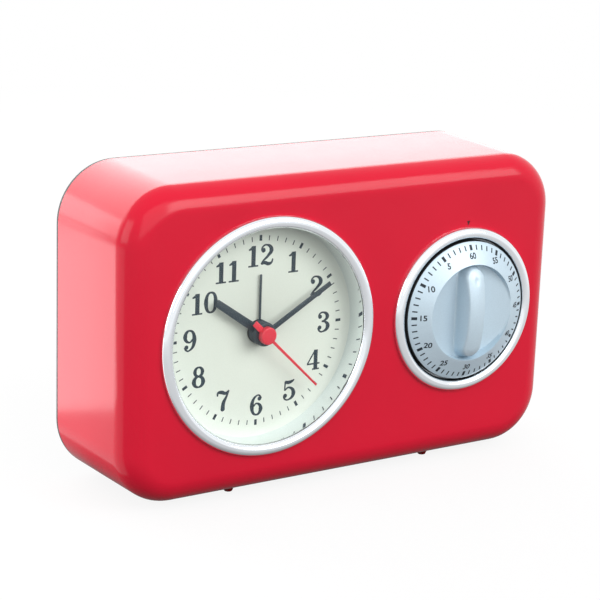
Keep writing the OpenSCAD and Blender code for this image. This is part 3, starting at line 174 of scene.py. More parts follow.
class TimerSettings(bpy.types.PropertyGroup):
    """Sizes and colours of the timer's front"""

    bead_width: length("Bead width", "Width of the chrome ring's bead", 4)
    bead_rise: length("Bead height", "Height of the chrome ring's bead", 2.2)
    knob_radius: length("Knob radius", "Radius of the knob's skirt", 24.15)
    dish_radius: length("Dish radius", "Radius of the scooped middle", 16.9)
    skirt_lift: length("Skirt lift", "Height of the skirt's edge before the case", 1.8)
    rim_lift: length("Rim lift", "Height of the dish's rim before the case", 5.5)
    dish_lift: length("Dish lift", "Height of the scoops' floor before the case", 2)
    crest_lift: length("Crest lift", "Height of the grip's crest before the case", 9.1)
    crest_fall: length("Crest fall", "How far the crest falls towards its ends", 3)
    crest_width: length("Crest width", "Width of the grip along its crest", 6.4)
    grip_width: length("Grip width", "Width of the grip at its foot", 8.6)
    grip_length: length("Grip length", "Length of the grip", 32.4)
    tick_radius: length("Tick radius", "Distance of the ticks' middles from the axis", 22.3)
    number_radius: length("Number radius", "Distance of the numbers' middles from the axis", 19.6)
    number_height: length("Number height", "Height of the numbers", 1.9)
    knob: colour("Knob", "Colour of the knob's metallic lacquer", "#C0D3DF")
    ink: colour("Ink", "Colour of the scale's printing", "#15202A")


class StudioSettings(bpy.types.PropertyGroup):
    """Camera and lamps"""

    azimuth: turn("Azimuth", "Direction of the camera round the clock", -33.135)
    elevation: turn("Elevation", "Height of the camera above the horizon", 15.206)
    roll: turn("Roll", "Turn of the camera about its view", 2.053)
    distance: length("Distance", "Distance of the camera from what it looks at", 655.491)
    lens: FloatProperty(name="Lens", description="Focal length", default=116.34, unit="CAMERA")
    key: power("Key", "Softbox from above the front", 14)
    side: power("Side", "Softbox from the right, which the top's front edge reflects", 11)
    rear: power("Rear", "Wide softbox behind, which the top reflects", 16.5)
    left: power("Left", "Softbox at the left, behind the front face", 5)
    panel: power("Panel", "Light panel on the floor, which the left side reflects", 0.8)
    ambient: FloatProperty(name="Ambient", description="Strength of the room's even light", default=0.74)


class KitchenClockSettings(bpy.types.PropertyGroup):
    """All settings of the kitchen clock"""

    case: PointerProperty(type=CaseSettings)
    clock: PointerProperty(type=ClockSettings)
    hands: PointerProperty(type=HandSettings)
    timer: PointerProperty(type=TimerSettings)
    studio: PointerProperty(type=StudioSettings)


def settings():
    """The scene's settings."""
    return bpy.context.scene.kitchen_clock


# Modelling helpers


def arc(x, y, radius, start, end, steps):
    """Points along an arc, angles in degrees."""
    angles = [math.radians(start + (end - start) * i / steps) for i in range(steps + 1)]
    return [(x + radius * math.cos(a), y + radius * math.sin(a)) for a in angles]


def chain(bm, points, closed=False):
    """New vertices joined by edges."""
    verts = [bm.verts.new(p) for p in points]
    ends = verts[1:] + verts[:1] if closed else verts[1:]
    return verts + [bm.edges.new(pair) for pair in zip(verts, ends)]


def outward(bm):
    """Turns the faces outwards."""
    bmesh.ops.recalc_face_normals(bm, faces=bm.faces[:])


def tidy(bm):
    """Merges what meets and turns the faces outwards."""
    bmesh.ops.remove_doubles(bm, verts=bm.verts[:], dist=NEAR)
    outward(bm)


def moved(bm, matrix):
    """Moves a whole mesh."""
    bmesh.ops.transform(bm, matrix=matrix, verts=bm.verts[:])


def turned(profile, centre, steps=160, closed=False):
    """A mesh of (radius, depth) points spun round the front-to-back line through centre."""
    bm = bmesh.new()
    line = chain(bm, [(centre.x + r, y, centre.z) for r, y in profile], closed)
    bmesh.ops.spin(bm, geom=line, cent=centre, axis=(0, 1, 0), dvec=(0, 0, 0), angle=math.tau, steps=steps,
                   use_merge=True, use_duplicate=False)
    tidy(bm)
    return bm


def rounded(bm, width):
    """Bevels the sharp edges."""
    sharp = math.radians(30)
    edges = [e for e in bm.edges if e.is_manifold and e.calc_face_angle() > sharp]
    bmesh.ops.bevel(bm, geom=edges, offset=width, offset_type="OFFSET", segments=2, profile=0.5,
                    affect="EDGES", clamp_overlap=True, material=-1)


def block(bm, low, high):
    """A box between two corners."""
    size = [h - l for l, h in zip(low, high)]
    place = Matrix.Translation([(l + h) / 2 for l, h in zip(low, high)]) @ Matrix.Diagonal((*size, 1))
    return bmesh.ops.create_cube(bm, size=1, matrix=place)["verts"]


def pointing(centre, angle):
    """Turns what is drawn towards twelve clockwise about a dial's axis."""
    return Matrix.Translation(centre) @ Matrix.Rotation(angle, 4, "Y")


def minute_marks(centre, face, start, bold, fine):
    """Sixty marks round an axis, as low blocks on a face.

    Bold, for each fifth, and fine are (length, width). Start gives a mark's inner radius from its length.
    """
    bm = bmesh.new()
    for minute in range(60):
        reach, width = fine if minute % 5 else bold
        inner = start(reach)
        verts = block(bm, (-width / 2, face - PRINT, inner), (width / 2, face + PRINT, inner + reach))
        bmesh.ops.transform(bm, matrix=pointing(centre, math.tau * minute / 60), verts=verts)
    return bm


def shown(name, bm, material):
    """An object of a finished mesh."""
    mesh = bpy.data.meshes.new(name)
    bm.to_mesh(mesh)
    bm.free()
    mesh.materials.append(material)
    obj = bpy.data.objects.new(name, mesh)
    bpy.context.scene.collection.objects.link(obj)
    return obj


def piece(name, bm, material, body, slot, *nodes, sharper=40):
    """Makes a mesh a piece: it rides on a body and stands for nodes. Slot is not used.

    Edges that turn by more than sharper, in degrees, are shaded sharp.
    """
    obj = shown(name, bm, material)
    obj.data.shade_smooth()
    obj.data.set_sharp_from_angle(angle=math.radians(sharper))
    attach(obj, body)
    if nodes:
        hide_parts(*nodes)
    return obj


def softened(node, name, width, material, body, slot):
    """A piece that is a node's own shape with its edges eased and its broad faces shaded flat."""
    flat = math.radians(1)
    broad = 1e-4  # square metres
    bm = bmesh.new()
    bm.from_mesh(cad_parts[node].data)
    bmesh.ops.remove_doubles(bm, verts=bm.verts[:], dist=WELD)
    bmesh.ops.dissolve_limit(bm, angle_limit=flat, verts=bm.verts[:], edges=bm.edges[:])
    rounded(bm, width)
    mesh = piece(name, bm, material, body, slot, node, sharper=20).data
    sharp = mesh.attributes["sharp_edge"].data
    for face in mesh.polygons:
        if face.area > broad:
            for corner in face.loop_indices:
                sharp[mesh.loops[corner].edge_index].value = True


def dress(material, *nodes):
    """Gives nodes that stay as they are a finish."""
    for node in nodes:
        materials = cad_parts[node].data.materials
        materials.clear()
        materials.append(material)


# Materials


def add(tree, kind, inputs=None, stops=(), **values):
    """Adds a node with its settings, ramp stops and inputs. A node as an input gives its first output."""
    node = tree.nodes.new("ShaderNode" + kind)
    for name, value in values.items():
        setattr(node, name, value)
    elements = node.color_ramp.elements if stops else ()
    while len(elements) < len(stops):
        elements.new(1)
    for element, (place, value) in zip(elements, stops):
        element.position = place
        element.color = (*(value if hasattr(value, "__len__") else (value,) * 3), 1)
    for key, value in (inputs or {}).items():
        source = value.outputs[0] if isinstance(value, bpy.types.Node) else value
        if isinstance(source, bpy.types.NodeSocket):
            tree.links.new(source, node.inputs[key])
        else:
            node.inputs[key].default_value = source
    return node


def per(mm):
    """Scale of a pattern whose patches are about so many millimetres across."""
    return 1 / (mm * MM)


def shade(rgb, amount):
    """A colour made lighter or darker."""
    return tuple(min(1, c * amount) for c in rgb)


def finish(name):
    """A new material, its tree and its Object coordinates."""
    made = bpy.data.materials.new(name)
    made.use_nodes = True
    tree = made.node_tree
    tree.nodes.clear()
    return made, tree, add(tree, "TexCoord").outputs["Object"]


def surface(made, tones, dullness, relief=(), **sockets):
    """Ends a material. Tones and dullness are a pattern and its stops, and relief a pattern and its mm."""
    tree = made.node_tree
    inputs = {"Base Color": add(tree, "ValToRGB", {"Fac": tones[0]}, tones[1:]),
              "Roughness": add(tree, "ValToRGB", {"Fac": dullness[0]}, dullness[1:]), **sockets}
    if relief:
        inputs["Normal"] = add(tree, "Bump", {"Height": relief[0], "Distance": relief[1] * MM, "Strength": 1})
    add(tree, "OutputMaterial", {"Surface": add(tree, "BsdfPrincipled", inputs)})
    return made


def mottled(name, patch_mm, detail, tones, dullness, depth_mm=0, **sockets):
    """A material whose colour, roughness and relief all follow one noise."""
    made, tree, coords = finish(name)
    noise = add(tree, "TexNoise", {"Vector": coords, "Scale": per(patch_mm), "Detail": detail})
    relief = (noise, depth_mm) if depth_mm else ()
    return surface(made, (noise, *tones), (noise, *dullness), relief, **sockets)


def stoved_enamel(rgb):
    """Stoved enamel on pressed steel."""
    # A deep even red under a hard gloss, with the faint orange peel of sprayed lacquer
    made, tree, coords = finish("stoved enamel")
    drift = add(tree, "TexNoise", {"Vector": coords, "Scale": per(40), "Detail": 2})
    gloss = add(tree, "TexNoise", {"Vector": coords, "Scale": per(9), "Detail": 2})
    peel = add(tree, "TexNoise", {"Vector": coords, "Scale": per(2.4), "Detail": 1})
    return surface(made, (drift, (0.3, shade(rgb, 0.96)), (0.7, shade(rgb, 1.03))),
                   (gloss, (0.3, 0.14), (0.7, 0.18)), (peel, 0.001), IOR=1.34)


def chrome_plate():
    """Chromium plate on rolled brass."""
    # A bright mirror with a cool cast and very fine polishing haze
    tones = ((0.3, linear("#EEF3F8")), (0.7, linear("#F2F6FA")))
    return mottled("chromium plate", 0.3, 2, tones, ((0.3, 0.05), (0.7, 0.07)), Metallic=1)


def float_glass():
    """Flat clear glass."""
    # Almost unseen, with a thin reflection. Lamps' rays pass it, so that the dial is lit
    made, tree, coords = finish("float glass")
    tint = (*linear("#FEFFFE"), 1)
    ripple = add(tree, "TexNoise", {"Vector": coords, "Scale": per(12), "Detail": 1})
    wave = add(tree, "Bump", {"Height": ripple, "Distance": 0.0004 * MM, "Strength": 1})
    glass = add(tree, "BsdfPrincipled", {"Base Color": tint, "Roughness": 0, "IOR": 1.3,
                                         "Transmission Weight": 1, "Normal": wave})
    clear = add(tree, "BsdfTransparent", {"Color": tint})
    path = add(tree, "LightPath")
    bounce = add(tree, "MixShader", {0: path.outputs["Is Diffuse Ray"], 1: glass, 2: clear})
    mix = add(tree, "MixShader", {0: path.outputs["Is Shadow Ray"], 1: bounce, 2: clear})
    add(tree, "OutputMaterial", {"Surface": mix})
    return made


def dial_lacquer(rgb):
    """Matt printing lacquer on aluminium sheet."""
    # A pale green-white with the slight tooth of a sprayed matt coat
    tones = ((0.25, shade(rgb, 0.97)), (0.75, shade(rgb, 1.01)))
    return mottled("dial lacquer", 0.35, 3, tones, ((0.3, 0.5), (0.7, 0.62)), 0.003, IOR=1.45)


def printing_ink(name, rgb):
    """Pad-printed ink."""
    # Dense, even and matt
    tones = ((0.3, shade(rgb, 0.88)), (0.7, shade(rgb, 1.1)))
    return mottled(name, 0.4, 3, tones, ((0.3, 0.5), (0.7, 0.62)), IOR=1.42)


def hand_lacquer(name, rgb):
    """Satin lacquer on stamped aluminium."""
    # A soft sheen along flat blades, broken by a fine spray texture
    tones = ((0.3, shade(rgb, 0.93)), (0.7, shade(rgb, 1.06)))
    return mottled(name, 0.25, 2, tones, ((0.3, 0.32), (0.7, 0.42)), 0.004, IOR=1.5)


def metallic_lacquer(rgb):
    """Pale metallic lacquer on moulded ABS."""
    # Silvery blue-white. Flakes too fine to show are drawn 0.25 mm wide, as a faint glitter
    made, tree, coords = finish("metallic lacquer")
    flakes = add(tree, "TexVoronoi", {"Vector": coords, "Scale": per(0.25)}).outputs["Color"]
    haze = add(tree, "TexNoise", {"Vector": coords, "Scale": per(0.6), "Detail": 2})
    peel = add(tree, "TexNoise", {"Vector": coords, "Scale": per(0.3), "Detail": 2})
    coat = {"Coat Weight": 0.1, "Coat Roughness": 0.2}
    return surface(made, (flakes, (0.1, shade(rgb, 0.97)), (0.9, shade(rgb, 1.03))),
                   (haze, (0.3, 0.4), (0.7, 0.47)), (peel, 0.002), Metallic=0.25, **coat)


def moulded_abs(name, rgb, grit_mm=0.45, depth_mm=0.02):
    """ABS from a spark-eroded mould."""
    # Dark and dull, with a fine even pebble that breaks up every highlight
    made, tree, coords = finish(name)
    cloud = add(tree, "TexNoise", {"Vector": coords, "Scale": per(6), "Detail": 2})
    pebble = add(tree, "TexVoronoi", {"Vector": coords, "Scale": per(grit_mm)}, feature="SMOOTH_F1")
    return surface(made, (cloud, (0.3, shade(rgb, 0.9)), (0.7, shade(rgb, 1.12))),
                   (pebble, (0.1, 0.62), (0.6, 0.48)), (pebble, depth_mm), IOR=1.5)


def moulded_rubber():
    """Moulded rubber."""
    # Deep red and dull, paler where dust sits
    tones = ((0.4, linear("#740509")), (0.8, linear("#84100F")))
    return mottled("moulded rubber", 0.5, 4, tones, ((0.3, 0.72), (0.7, 0.9)), 0.01, IOR=1.3)


def drawn_metal(name, rgb, roughness, across_mm, along_mm):
    """Sheet or bar with the marks of rolling and drawing."""
    # Fine streaks along the work, which stretch its highlights
    made, tree, coords = finish(name)
    scale = (per(along_mm), per(across_mm), per(across_mm))
    stretched = add(tree, "Mapping", {"Vector": coords, "Scale": scale})
    streaks = add(tree, "TexNoise", {"Vector": stretched, "Scale": 1, "Detail": 3})
    return surface(made, (streaks, (0.3, shade(rgb, 0.9)), (0.7, shade(rgb, 1.05))),
                   (streaks, (0.3, roughness), (0.7, roughness + 0.12)), (streaks, 0.002), Metallic=1)


def natural_acetal():
    """Natural moulded acetal."""
    # Milky and slightly waxy, so light sinks in a little
    tones = ((0.3, linear("#DEDACB")), (0.7, linear("#ECE9DD")))
    wax = {"Subsurface Weight": 0.15, "Subsurface Scale": 0.4 * MM}
    return mottled("natural acetal", 3, 2, tones, ((0.3, 0.34), (0.7, 0.44)), IOR=1.48, **wax)


def board_lacquer():
    """Solder lacquer on a printed circuit."""
    # Dark green over paler copper tracks at a pitch of 1.3 mm
    made, tree, coords = finish("board lacquer")
    tracks = add(tree, "TexWave", {"Vector": coords, "Scale": per(1.3 * math.tau), "Distortion": 1.5},
                 bands_direction="Z").outputs["Fac"]
    return surface(made, (tracks, (0.45, linear("#164A2C")), (0.55, linear("#2E7447"))),
                   (tracks, (0.4, 0.3), (0.6, 0.22)), IOR=1.5)


def wound_wire():
    """Enamelled copper wire, close wound."""
    # Brown-orange turns side by side, drawn 0.2 mm apart
    made, tree, coords = finish("wound copper wire")
    turns = add(tree, "TexWave", {"Vector": coords, "Scale": per(0.2 * math.tau)},
                bands_direction="X").outputs["Fac"]
    return surface(made, (turns, (0.1, linear("#6E3418")), (0.8, linear("#C47842"))),
                   (turns, (0.2, 0.4), (0.8, 0.28)), (turns, 0.05), Metallic=0.8)


def cell_sleeve():
    """Printed shrink sleeve on a battery cell."""
    # Glossy dark film with one plain band at the positive end
    made, tree, coords = finish("printed cell sleeve")
    low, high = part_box("battery_cell")
    film, band = linear("#23272C"), linear("#B98A3C")
    along = add(tree, "MapRange", {"Value": add(tree, "SeparateXYZ", {"Vector": coords}),
                                   "From Min": low.x, "From Max": high.x})
    scuff = add(tree, "TexNoise", {"Vector": coords, "Scale": per(4), "Detail": 2})
    bands = ((0, linear("#A9AEB3")), (0.02, film), (0.7, film), (0.71, band), (0.96, band),
             (0.97, linear("#B9BDC1")))
    return surface(made, (along, *bands), (scuff, (0.3, 0.25), (0.7, 0.36)), IOR=1.5)


def lead_sleeve():
    """Soft PVC sleeve on a lead."""
    # Bright red with a slight sheen
    tones = ((0.3, linear("#A31515")), (0.7, linear("#C02222")))
    return mottled("lead sleeve", 2, 3, tones, ((0.3, 0.35), (0.7, 0.5)), IOR=1.53)


# Shapes of the printed numerals

# Strokes of a bold clock numeral on a grid 100 high: how the points are joined, then (x, y, half width)
NUMERALS = {
    "0": [("loop", (33, 96.5, 3.5), (56, 50, 10.5), (33, 3.5, 3.5), (10, 50, 10.5))],
    "1": [("line", (31, 98, 10.5), (31, 3, 10.5)), ("line", (6, 3, 3), (55, 3, 3)),
          ("curve", (7, 80, 2.6), (17, 84, 5), (28, 93, 6))],
    "2": [("curve", (8, 72, 3), (12, 88, 3.5), (33, 97, 3.2), (56, 73, 10.5), (40, 45, 6), (14, 20, 3.4),
           (7, 8, 3)),
          ("curve", (8, 9, 4), (24, 14, 7.5), (44, 7, 7.5), (58, 12, 4.5), (64, 29, 2.6)),
          ("ball", (17, 73, 10.5))],
    "3": [("curve", (8, 77, 3), (13, 90, 3.5), (31, 97, 3.2), (53, 76, 9.8), (40, 57, 4.5), (25, 53, 2.8)),
          ("curve", (25, 53, 2.8), (42, 50, 4.5), (57, 27, 10.5), (32, 3, 3.2), (13, 9, 3.5), (6, 23, 3)),
          ("ball", (16, 77, 9.5)), ("ball", (15, 24, 10))],
    "4": [("line", (47, 98, 10), (47, 3, 10)), ("line", (44, 97, 3), (5, 31, 3)),
          ("line", (3, 30, 3.2), (68, 30, 3.2)), ("line", (30, 3, 3), (66, 3, 3))],
    "5": [("curve", (12, 91, 7), (32, 88, 8), (48, 92, 6), (59, 99, 2.4)),
          ("line", (14, 94, 3.2), (12, 50, 3)),
          ("curve", (12, 51, 3), (33, 63, 3.6), (57, 33, 10.5), (32, 3, 3.2), (13, 9, 3.5), (6, 23, 3)),
          ("ball", (15, 24, 10))],
    "6": [("curve", (59, 79, 3), (53, 92, 3.4), (38, 97, 3.2), (13, 48, 10.5), (35, 3, 3.4), (57, 30, 10),
           (37, 58, 3.2), (21, 46, 3.6)), ("ball", (50, 80, 9.5))],
    "7": [("curve", (6, 74, 2.6), (9, 90, 5.5), (26, 91, 8.5), (46, 84, 6.5), (62, 96, 3.4)),
          ("curve", (62, 97, 3), (49, 66, 5.5), (36, 38, 9), (33, 4, 10.5)), ("ball", (33, 9, 10.5))],
    "8": [("loop", (33, 97, 3.4), (51, 76, 8.6), (33, 54, 4.4), (15, 76, 8.6)),
          ("loop", (33, 54, 4.4), (55, 27, 10.4), (33, 3, 3.4), (11, 27, 10.4))],
}
NUMERAL_GRID = 100
NUMERAL_WIDTH = 66
NUMERAL_WIDTHS = {"1": 58, "4": 70}  # those that differ
NUMERAL_SPACE = 4
NUMERAL_STRETCH = 1.09  # how much wider than drawn
BOLD_STROKE = 10  # half width of a stroke whose printing stands up by the full amount
INK_SPREAD = 0.8  # how far the ink of a stroke spreads to each side
INNER_NUMERALS = {"10": 0.93, "11": 0.965}  # these two stand nearer the middle, as shares of the radius
FIGURE_SHARE = 0.7  # height of a scale figure as a share of its font's size
FIGURE_SPREAD = 0.028  # how far a scale figure is thickened, as a share of its height

# A nine is a six turned by half a turn
NUMERALS["9"] = [(kind, *((NUMERAL_WIDTH - x, NUMERAL_GRID - y, half) for x, y, half in points))
                 for kind, *points in NUMERALS["6"]]


def numeral_strokes(text):
    """Strokes of a number with its middle at the origin."""
    widths = [NUMERAL_WIDTHS.get(c, NUMERAL_WIDTH) for c in text]
    left = -(sum(widths) + NUMERAL_SPACE * (len(text) - 1)) / 2
    for figure, width in zip(text, widths):
        for kind, *points in NUMERALS[figure]:
            yield kind, [((x + left) * NUMERAL_STRETCH, y - NUMERAL_GRID / 2, half + INK_SPREAD)
                         for x, y, half in points]
        left += width + NUMERAL_SPACE


def pen_mesh(strokes, unit):
    """Mesh of pen strokes, lying in the X-Y plane, from a curve whose radius is the pen's half width."""
    pen = bpy.data.curves.new("pen", "CURVE")
    pen.dimensions = "3D"
    pen.bevel_depth = unit
    pen.bevel_resolution = 2
    pen.resolution_u = 10
    pen.use_fill_caps = True
    for kind, points in strokes:
        spline = pen.splines.new("BEZIER")
        spline.bezier_points.add(len(points) - 1)
        spline.use_cyclic_u = kind == "loop"
        for knot, (x, y, half) in zip(spline.bezier_points, points):
            knot.co = (x * unit, y * unit, 0)
            knot.radius = half
            knot.handle_left_type = knot.handle_right_type = "VECTOR" if kind == "line" else "AUTO"
    return curve_mesh(pen)


def curve_mesh(curve):
    """Mesh of a curve or text, which is then removed."""
    holder = bpy.data.objects.new(curve.name, curve)
    bpy.context.scene.collection.objects.link(holder)
    bpy.context.view_layer.update()
    mesh = bpy.data.meshes.new_from_object(holder.evaluated_get(bpy.context.evaluated_depsgraph_get()))
    bpy.data.objects.remove(holder)
    bpy.data.curves.remove(curve)
    return mesh


# Operators


class KITCHENCLOCK_OT_case(bpy.types.Operator):
    """Model the enamelled steel case with its two openings"""

    bl_idname = "kitchen_clock.case"
    bl_label = "Enamelled case"

    def execute(self, context):
        size = settings().case
        bm = bmesh.new()
        self.sweep(size, bm)
        rim = [e for e in bm.edges if e.is_boundary and all(v.co.y < FRONT + NEAR for v in e.verts)]
        covered = 0.8  # share of a ring's bead that hides the edge of its opening
        for axis, node, bead in ((CLOCK, "clock_bezel", settings().clock.bead_width),
                                 (TIMER, "timer_bezel", settings().timer.bead_width)):
            place = Matrix.Translation((axis.x, FRONT, axis.z)) @ UPRIGHT
            radius = radius_of(node) - bead * covered
            hole = bmesh.ops.create_circle(bm, radius=radius, segments=96, matrix=place)
            rim += list({e for v in hole["verts"] for e in v.link_edges})
        bmesh.ops.triangle_fill(bm, edges=rim, use_beauty=True, use_dissolve=False, normal=(0, -1, 0))
        outward(bm)
        level = 0.99  # a face turned this far to the front or back is the flat front
        front = next(f for f in bm.faces if abs(f.normal.y) > level)
        if front.normal.y > 0:
            bmesh.ops.reverse_faces(bm, faces=bm.faces[:])
        bmesh.ops.solidify(bm, geom=bm.faces[:], thickness=size.wall)
        piece("enamel_case", bm, stoved_enamel(size.enamel), "case", "red_enamel", "case_shell")
        return {"FINISHED"}

    def sweep(self, size, bm):
        """The wall and the rolled front edge, all the way round."""
        lean = math.atan(size.draft / DEPTH)
        edge, inset = size.edge_radius, size.corner_radius
        roll = inset - size.draft + edge * math.tan(lean) - edge / math.cos(lean)
        support = 1 * MM  # a flat strip inside the rolled edge keeps its shading clean
        loop = 0.6  # share of the depth at which the wall has a row of points
        profile = [(inset, DEPTH), (inset - size.draft * (1 - loop), DEPTH * loop)]
        profile += arc(roll, edge, edge, -math.degrees(lean), -90, 20)
        profile.append((roll - support, 0))
        centre = Vector((case_high.x - inset, FRONT, case_low.z + inset))
        across = Vector((case_high.x - case_low.x - 2 * inset, 0, 0))
        upward = Vector((0, 0, case_high.z - case_low.z - 2 * inset))
        line = chain(bm, [(centre.x + u, FRONT + d, centre.z) for u, d in profile])
        for run in (upward, -across, -upward, across):
            edges = [g for g in line if isinstance(g, bmesh.types.BMEdge)]
            made = bmesh.ops.extrude_edge_only(bm, edges=edges)["geom"]
            verts = [g for g in made if isinstance(g, bmesh.types.BMVert)]
            bmesh.ops.translate(bm, verts=verts, vec=run)
            edges = [g for g in made if isinstance(g, bmesh.types.BMEdge) and set(g.verts) <= set(verts)]
            centre = centre + run
            line = bmesh.ops.spin(bm, geom=verts + edges, cent=centre, axis=(0, -1, 0), dvec=(0, 0, 0),
                                  angle=math.pi / 2, steps=24, use_duplicate=False)["geom_last"]
        bmesh.ops.remove_doubles(bm, verts=bm.verts[:], dist=WELD)


class KITCHENCLOCK_OT_feet(bpy.types.Operator):
    """Model the four rubber feet"""

    bl_idname = "kitchen_clock.feet"
    bl_label = "Rubber feet"

    def execute(self, context):
        size = settings().case
        low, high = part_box("rubber_feet")
        edge = 0.3 * MM
        bm = bmesh.new()
        for x in (low.x + size.foot_side, high.x - size.foot_side):
            for d in (size.foot_inset, DEPTH - size.foot_inset):
                top = case_low.z + size.draft * (1 - (d + size.foot_shoulder) / DEPTH)
                profile = [(0, 0)] + arc(size.foot_radius - edge, edge, edge, -90, -20, 4)
                profile += arc(size.foot_shoulder - edge, top - edge, edge, -20, 60, 4)
                profile += [(size.foot_shoulder - edge, top), (0, top)]
                foot = Vector((x, FRONT + d, 0))
                line = chain(bm, [(foot.x + r, foot.y, z) for r, z in profile])
                bmesh.ops.spin(bm, geom=line, cent=foot, axis=(0, 0, 1), dvec=(0, 0, 0), angle=math.tau,
                               steps=40, use_merge=True, use_duplicate=False)
        tidy(bm)
        piece("rubber_foot_set", bm, moulded_rubber(), "case", "rubber", "rubber_feet")
        return {"FINISHED"}


def bead_ring(node, centre, bead, rise, back):
    """A chrome ring: a half-round bead before the case and a tube behind it."""
    outer = radius_of(node)
    inner = outer - bead
    half = bead / 2
    tube = inner + 1 * MM
    profile = [(outer, FRONT)] + arc(outer - half, FRONT - rise + half, half, 0, -180, 28)
    profile += [(inner, back), (tube, back), (tube, FRONT)]
    return turned(profile, centre, steps=192, closed=True)


class KITCHENCLOCK_OT_clock_front(bpy.types.Operator):
    """Model the clock's chrome ring and its lens"""

    bl_idname = "kitchen_clock.clock_front"
    bl_label = "Clock ring and lens"

    def execute(self, context):
        size = settings().clock
        bm = bead_ring("clock_bezel", CLOCK, size.bead_width, size.bead_rise, DIAL_FACE)
        piece("clock_ring", bm, chrome_plate(), "case", "chrome", "clock_bezel", sharper=50)
        clear = 0.02 * MM  # keeps the lens's back off its seat
        hidden = 0.5 * MM  # how far the lens's edge goes into the ring's bead, out of sight
        thickness = 0.4 * MM
        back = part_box("clock_lens")[1].y - clear
        front = back - thickness
        rim = radius_of("clock_lens") + hidden
        bm = turned([(0, front), (rim, front), (rim, back), (0, back)], CLOCK)
        piece("glass_lens", bm, float_glass(), "case", "lens", "clock_lens", sharper=5)
        return {"FINISHED"}


class KITCHENCLOCK_OT_dial(bpy.types.Operator):
    """Model the dial plate and print its numerals and minute track"""

    bl_idname = "kitchen_clock.dial"
    bl_label = "Dial"

    def execute(self, context):
        size = settings().clock
        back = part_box("clock_dial")[1].y
        rim = radius_of("clock_dial")
        hole = settings().hands.boss_radius
        bm = turned([(hole, DIAL_FACE), (rim, DIAL_FACE), (rim, back), (hole, back)], CLOCK, closed=True)
        rounded(bm, 0.1 * MM)
        piece("dial_plate", bm, dial_lacquer(size.dial), "case", "dial", "clock_dial")
        ink = printing_ink("dial ink", size.ink)
        piece("dial_numerals", self.numerals(size), ink, "case", "dial")
        bold, fine = (size.hour_tick, size.hour_tick_width), (size.minute_tick, size.minute_tick_width)
        track = minute_marks(CLOCK, DIAL_FACE, lambda reach: size.tick_inner, bold, fine)
        piece("minute_track", track, ink, "case", "dial")
        return {"FINISHED"}

    def numerals(self, size):
        """The twelve hour numerals, upright, as low domed printing."""
        unit = size.numeral_height / NUMERAL_GRID
        strokes, balls = [], []
        for hour in range(1, 13):
            radius = size.numeral_radius * INNER_NUMERALS.get(str(hour), 1) / unit
            angle = math.tau * hour / 12
            x, y = radius * math.sin(angle), radius * math.cos(angle)
            for kind, points in numeral_strokes(str(hour)):
                placed = [(px + x, py + y, half) for px, py, half in points]
                (balls if kind == "ball" else strokes).append((kind, placed))
        bm = bmesh.new()
        bm.from_mesh(pen_mesh(strokes, unit))
        for _, ((x, y, radius),) in balls:
            bmesh.ops.create_uvsphere(bm, u_segments=20, v_segments=10, radius=radius * unit,
                                      matrix=Matrix.Translation((x * unit, y * unit, 0)))
        low = Matrix.Diagonal((1, 1, PRINT / (BOLD_STROKE * unit), 1))
        place = Matrix.Translation((CLOCK.x, DIAL_FACE, CLOCK.z)) @ UPRIGHT
        moved(bm, place @ low)
        tidy(bm)
        return bm


class KITCHENCLOCK_OT_hands(bpy.types.Operator):
    """Model the hour, minute, alarm and second hands with their bosses"""

    bl_idname = "kitchen_clock.hands"
    bl_label = "Hands"

    def execute(self, context):
        size = settings().hands
        slate = hand_lacquer("slate hand lacquer", settings().clock.ink)
        # Tip is a share of the blade's width, and level the blade's place from its boss's front to the back
        for name, reach, root, tip, angle, level in (
                ("hour_hand", size.hour_length, size.hour_width, 0.85, size.hour_angle, 0.5),
                ("minute_hand", size.minute_length, size.minute_width, 0.9, size.minute_angle, 0.5),
                ("alarm_hand", size.alarm_length, size.alarm_width, 1, size.alarm_angle, 1)):
            front, back = (corner.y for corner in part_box(name))
            blade = front + (back - front - size.blade) * level
            bm = self.hand(size, front, back, blade, reach, root, tip)
            moved(bm, pointing(CLOCK, angle))
            piece("slate_" + name, bm, slate, name, "hand_slate", name, sharper=35)
        bm = self.second(size)
        moved(bm, pointing(CLOCK, size.second_angle))
        red = hand_lacquer("red hand lacquer", settings().clock.second)
        piece("red_second_hand", bm, red, "second_hand", "hand_red", "second_hand", sharper=35)
        return {"FINISHED"}

    def taper(self, bm, low, high, tip):
        """A blade towards twelve whose far end is narrowed to a share of its width."""
        for v in block(bm, low, high):
            if v.co.z > high[2] / 2:
                v.co.x *= tip

    def hand(self, size, front, back, blade, reach, root, tip):
        """A blade on a grooved boss, with its axis through the origin."""
        rim, bore, groove, ease = size.boss_radius, 0.9 * MM, 0.35 * MM, 0.25 * MM
        waist = (front + back) / 2
        profile = [(bore, front), (rim - ease, front), (rim, front + ease), (rim, waist - groove),
                   (rim - groove, waist), (rim, waist + groove), (rim, back), (bore, back)]
        bm = turned(profile, Vector(), steps=72, closed=True)
        self.taper(bm, (-root / 2, blade, bore), (root / 2, blade + size.blade, reach), tip)
        rounded(bm, EASED)
        return bm

    def second(self, size):
        """The second hand's needle, its broad tail and its domed cap."""
        front, back = (corner.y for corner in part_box("second_hand"))
        blade = back - size.blade
        edge = 0.5 * MM
        root, tail = size.tail_width / 4, size.tail_width / 2
        dome = arc(size.cap_radius - edge, front + edge, edge, -90, 0, 6)
        bm = turned([(0, front)] + dome + [(size.cap_radius, back), (0, back)], Vector(), steps=72)
        self.taper(bm, (-root, blade, 0), (root, back, size.second_length), size.second_width / tail)
        block(bm, (-tail, blade, -size.second_tail), (tail, back, 0))
        rounded(bm, EASED)
        return bm


def smooth_low(a, b, reach):
    """The lower of two heights, blended where they are within reach."""
    mix = max(0, min(1, 0.5 + (b - a) / (2 * reach)))
    return b + (a - b) * mix - reach * mix * (1 - mix)


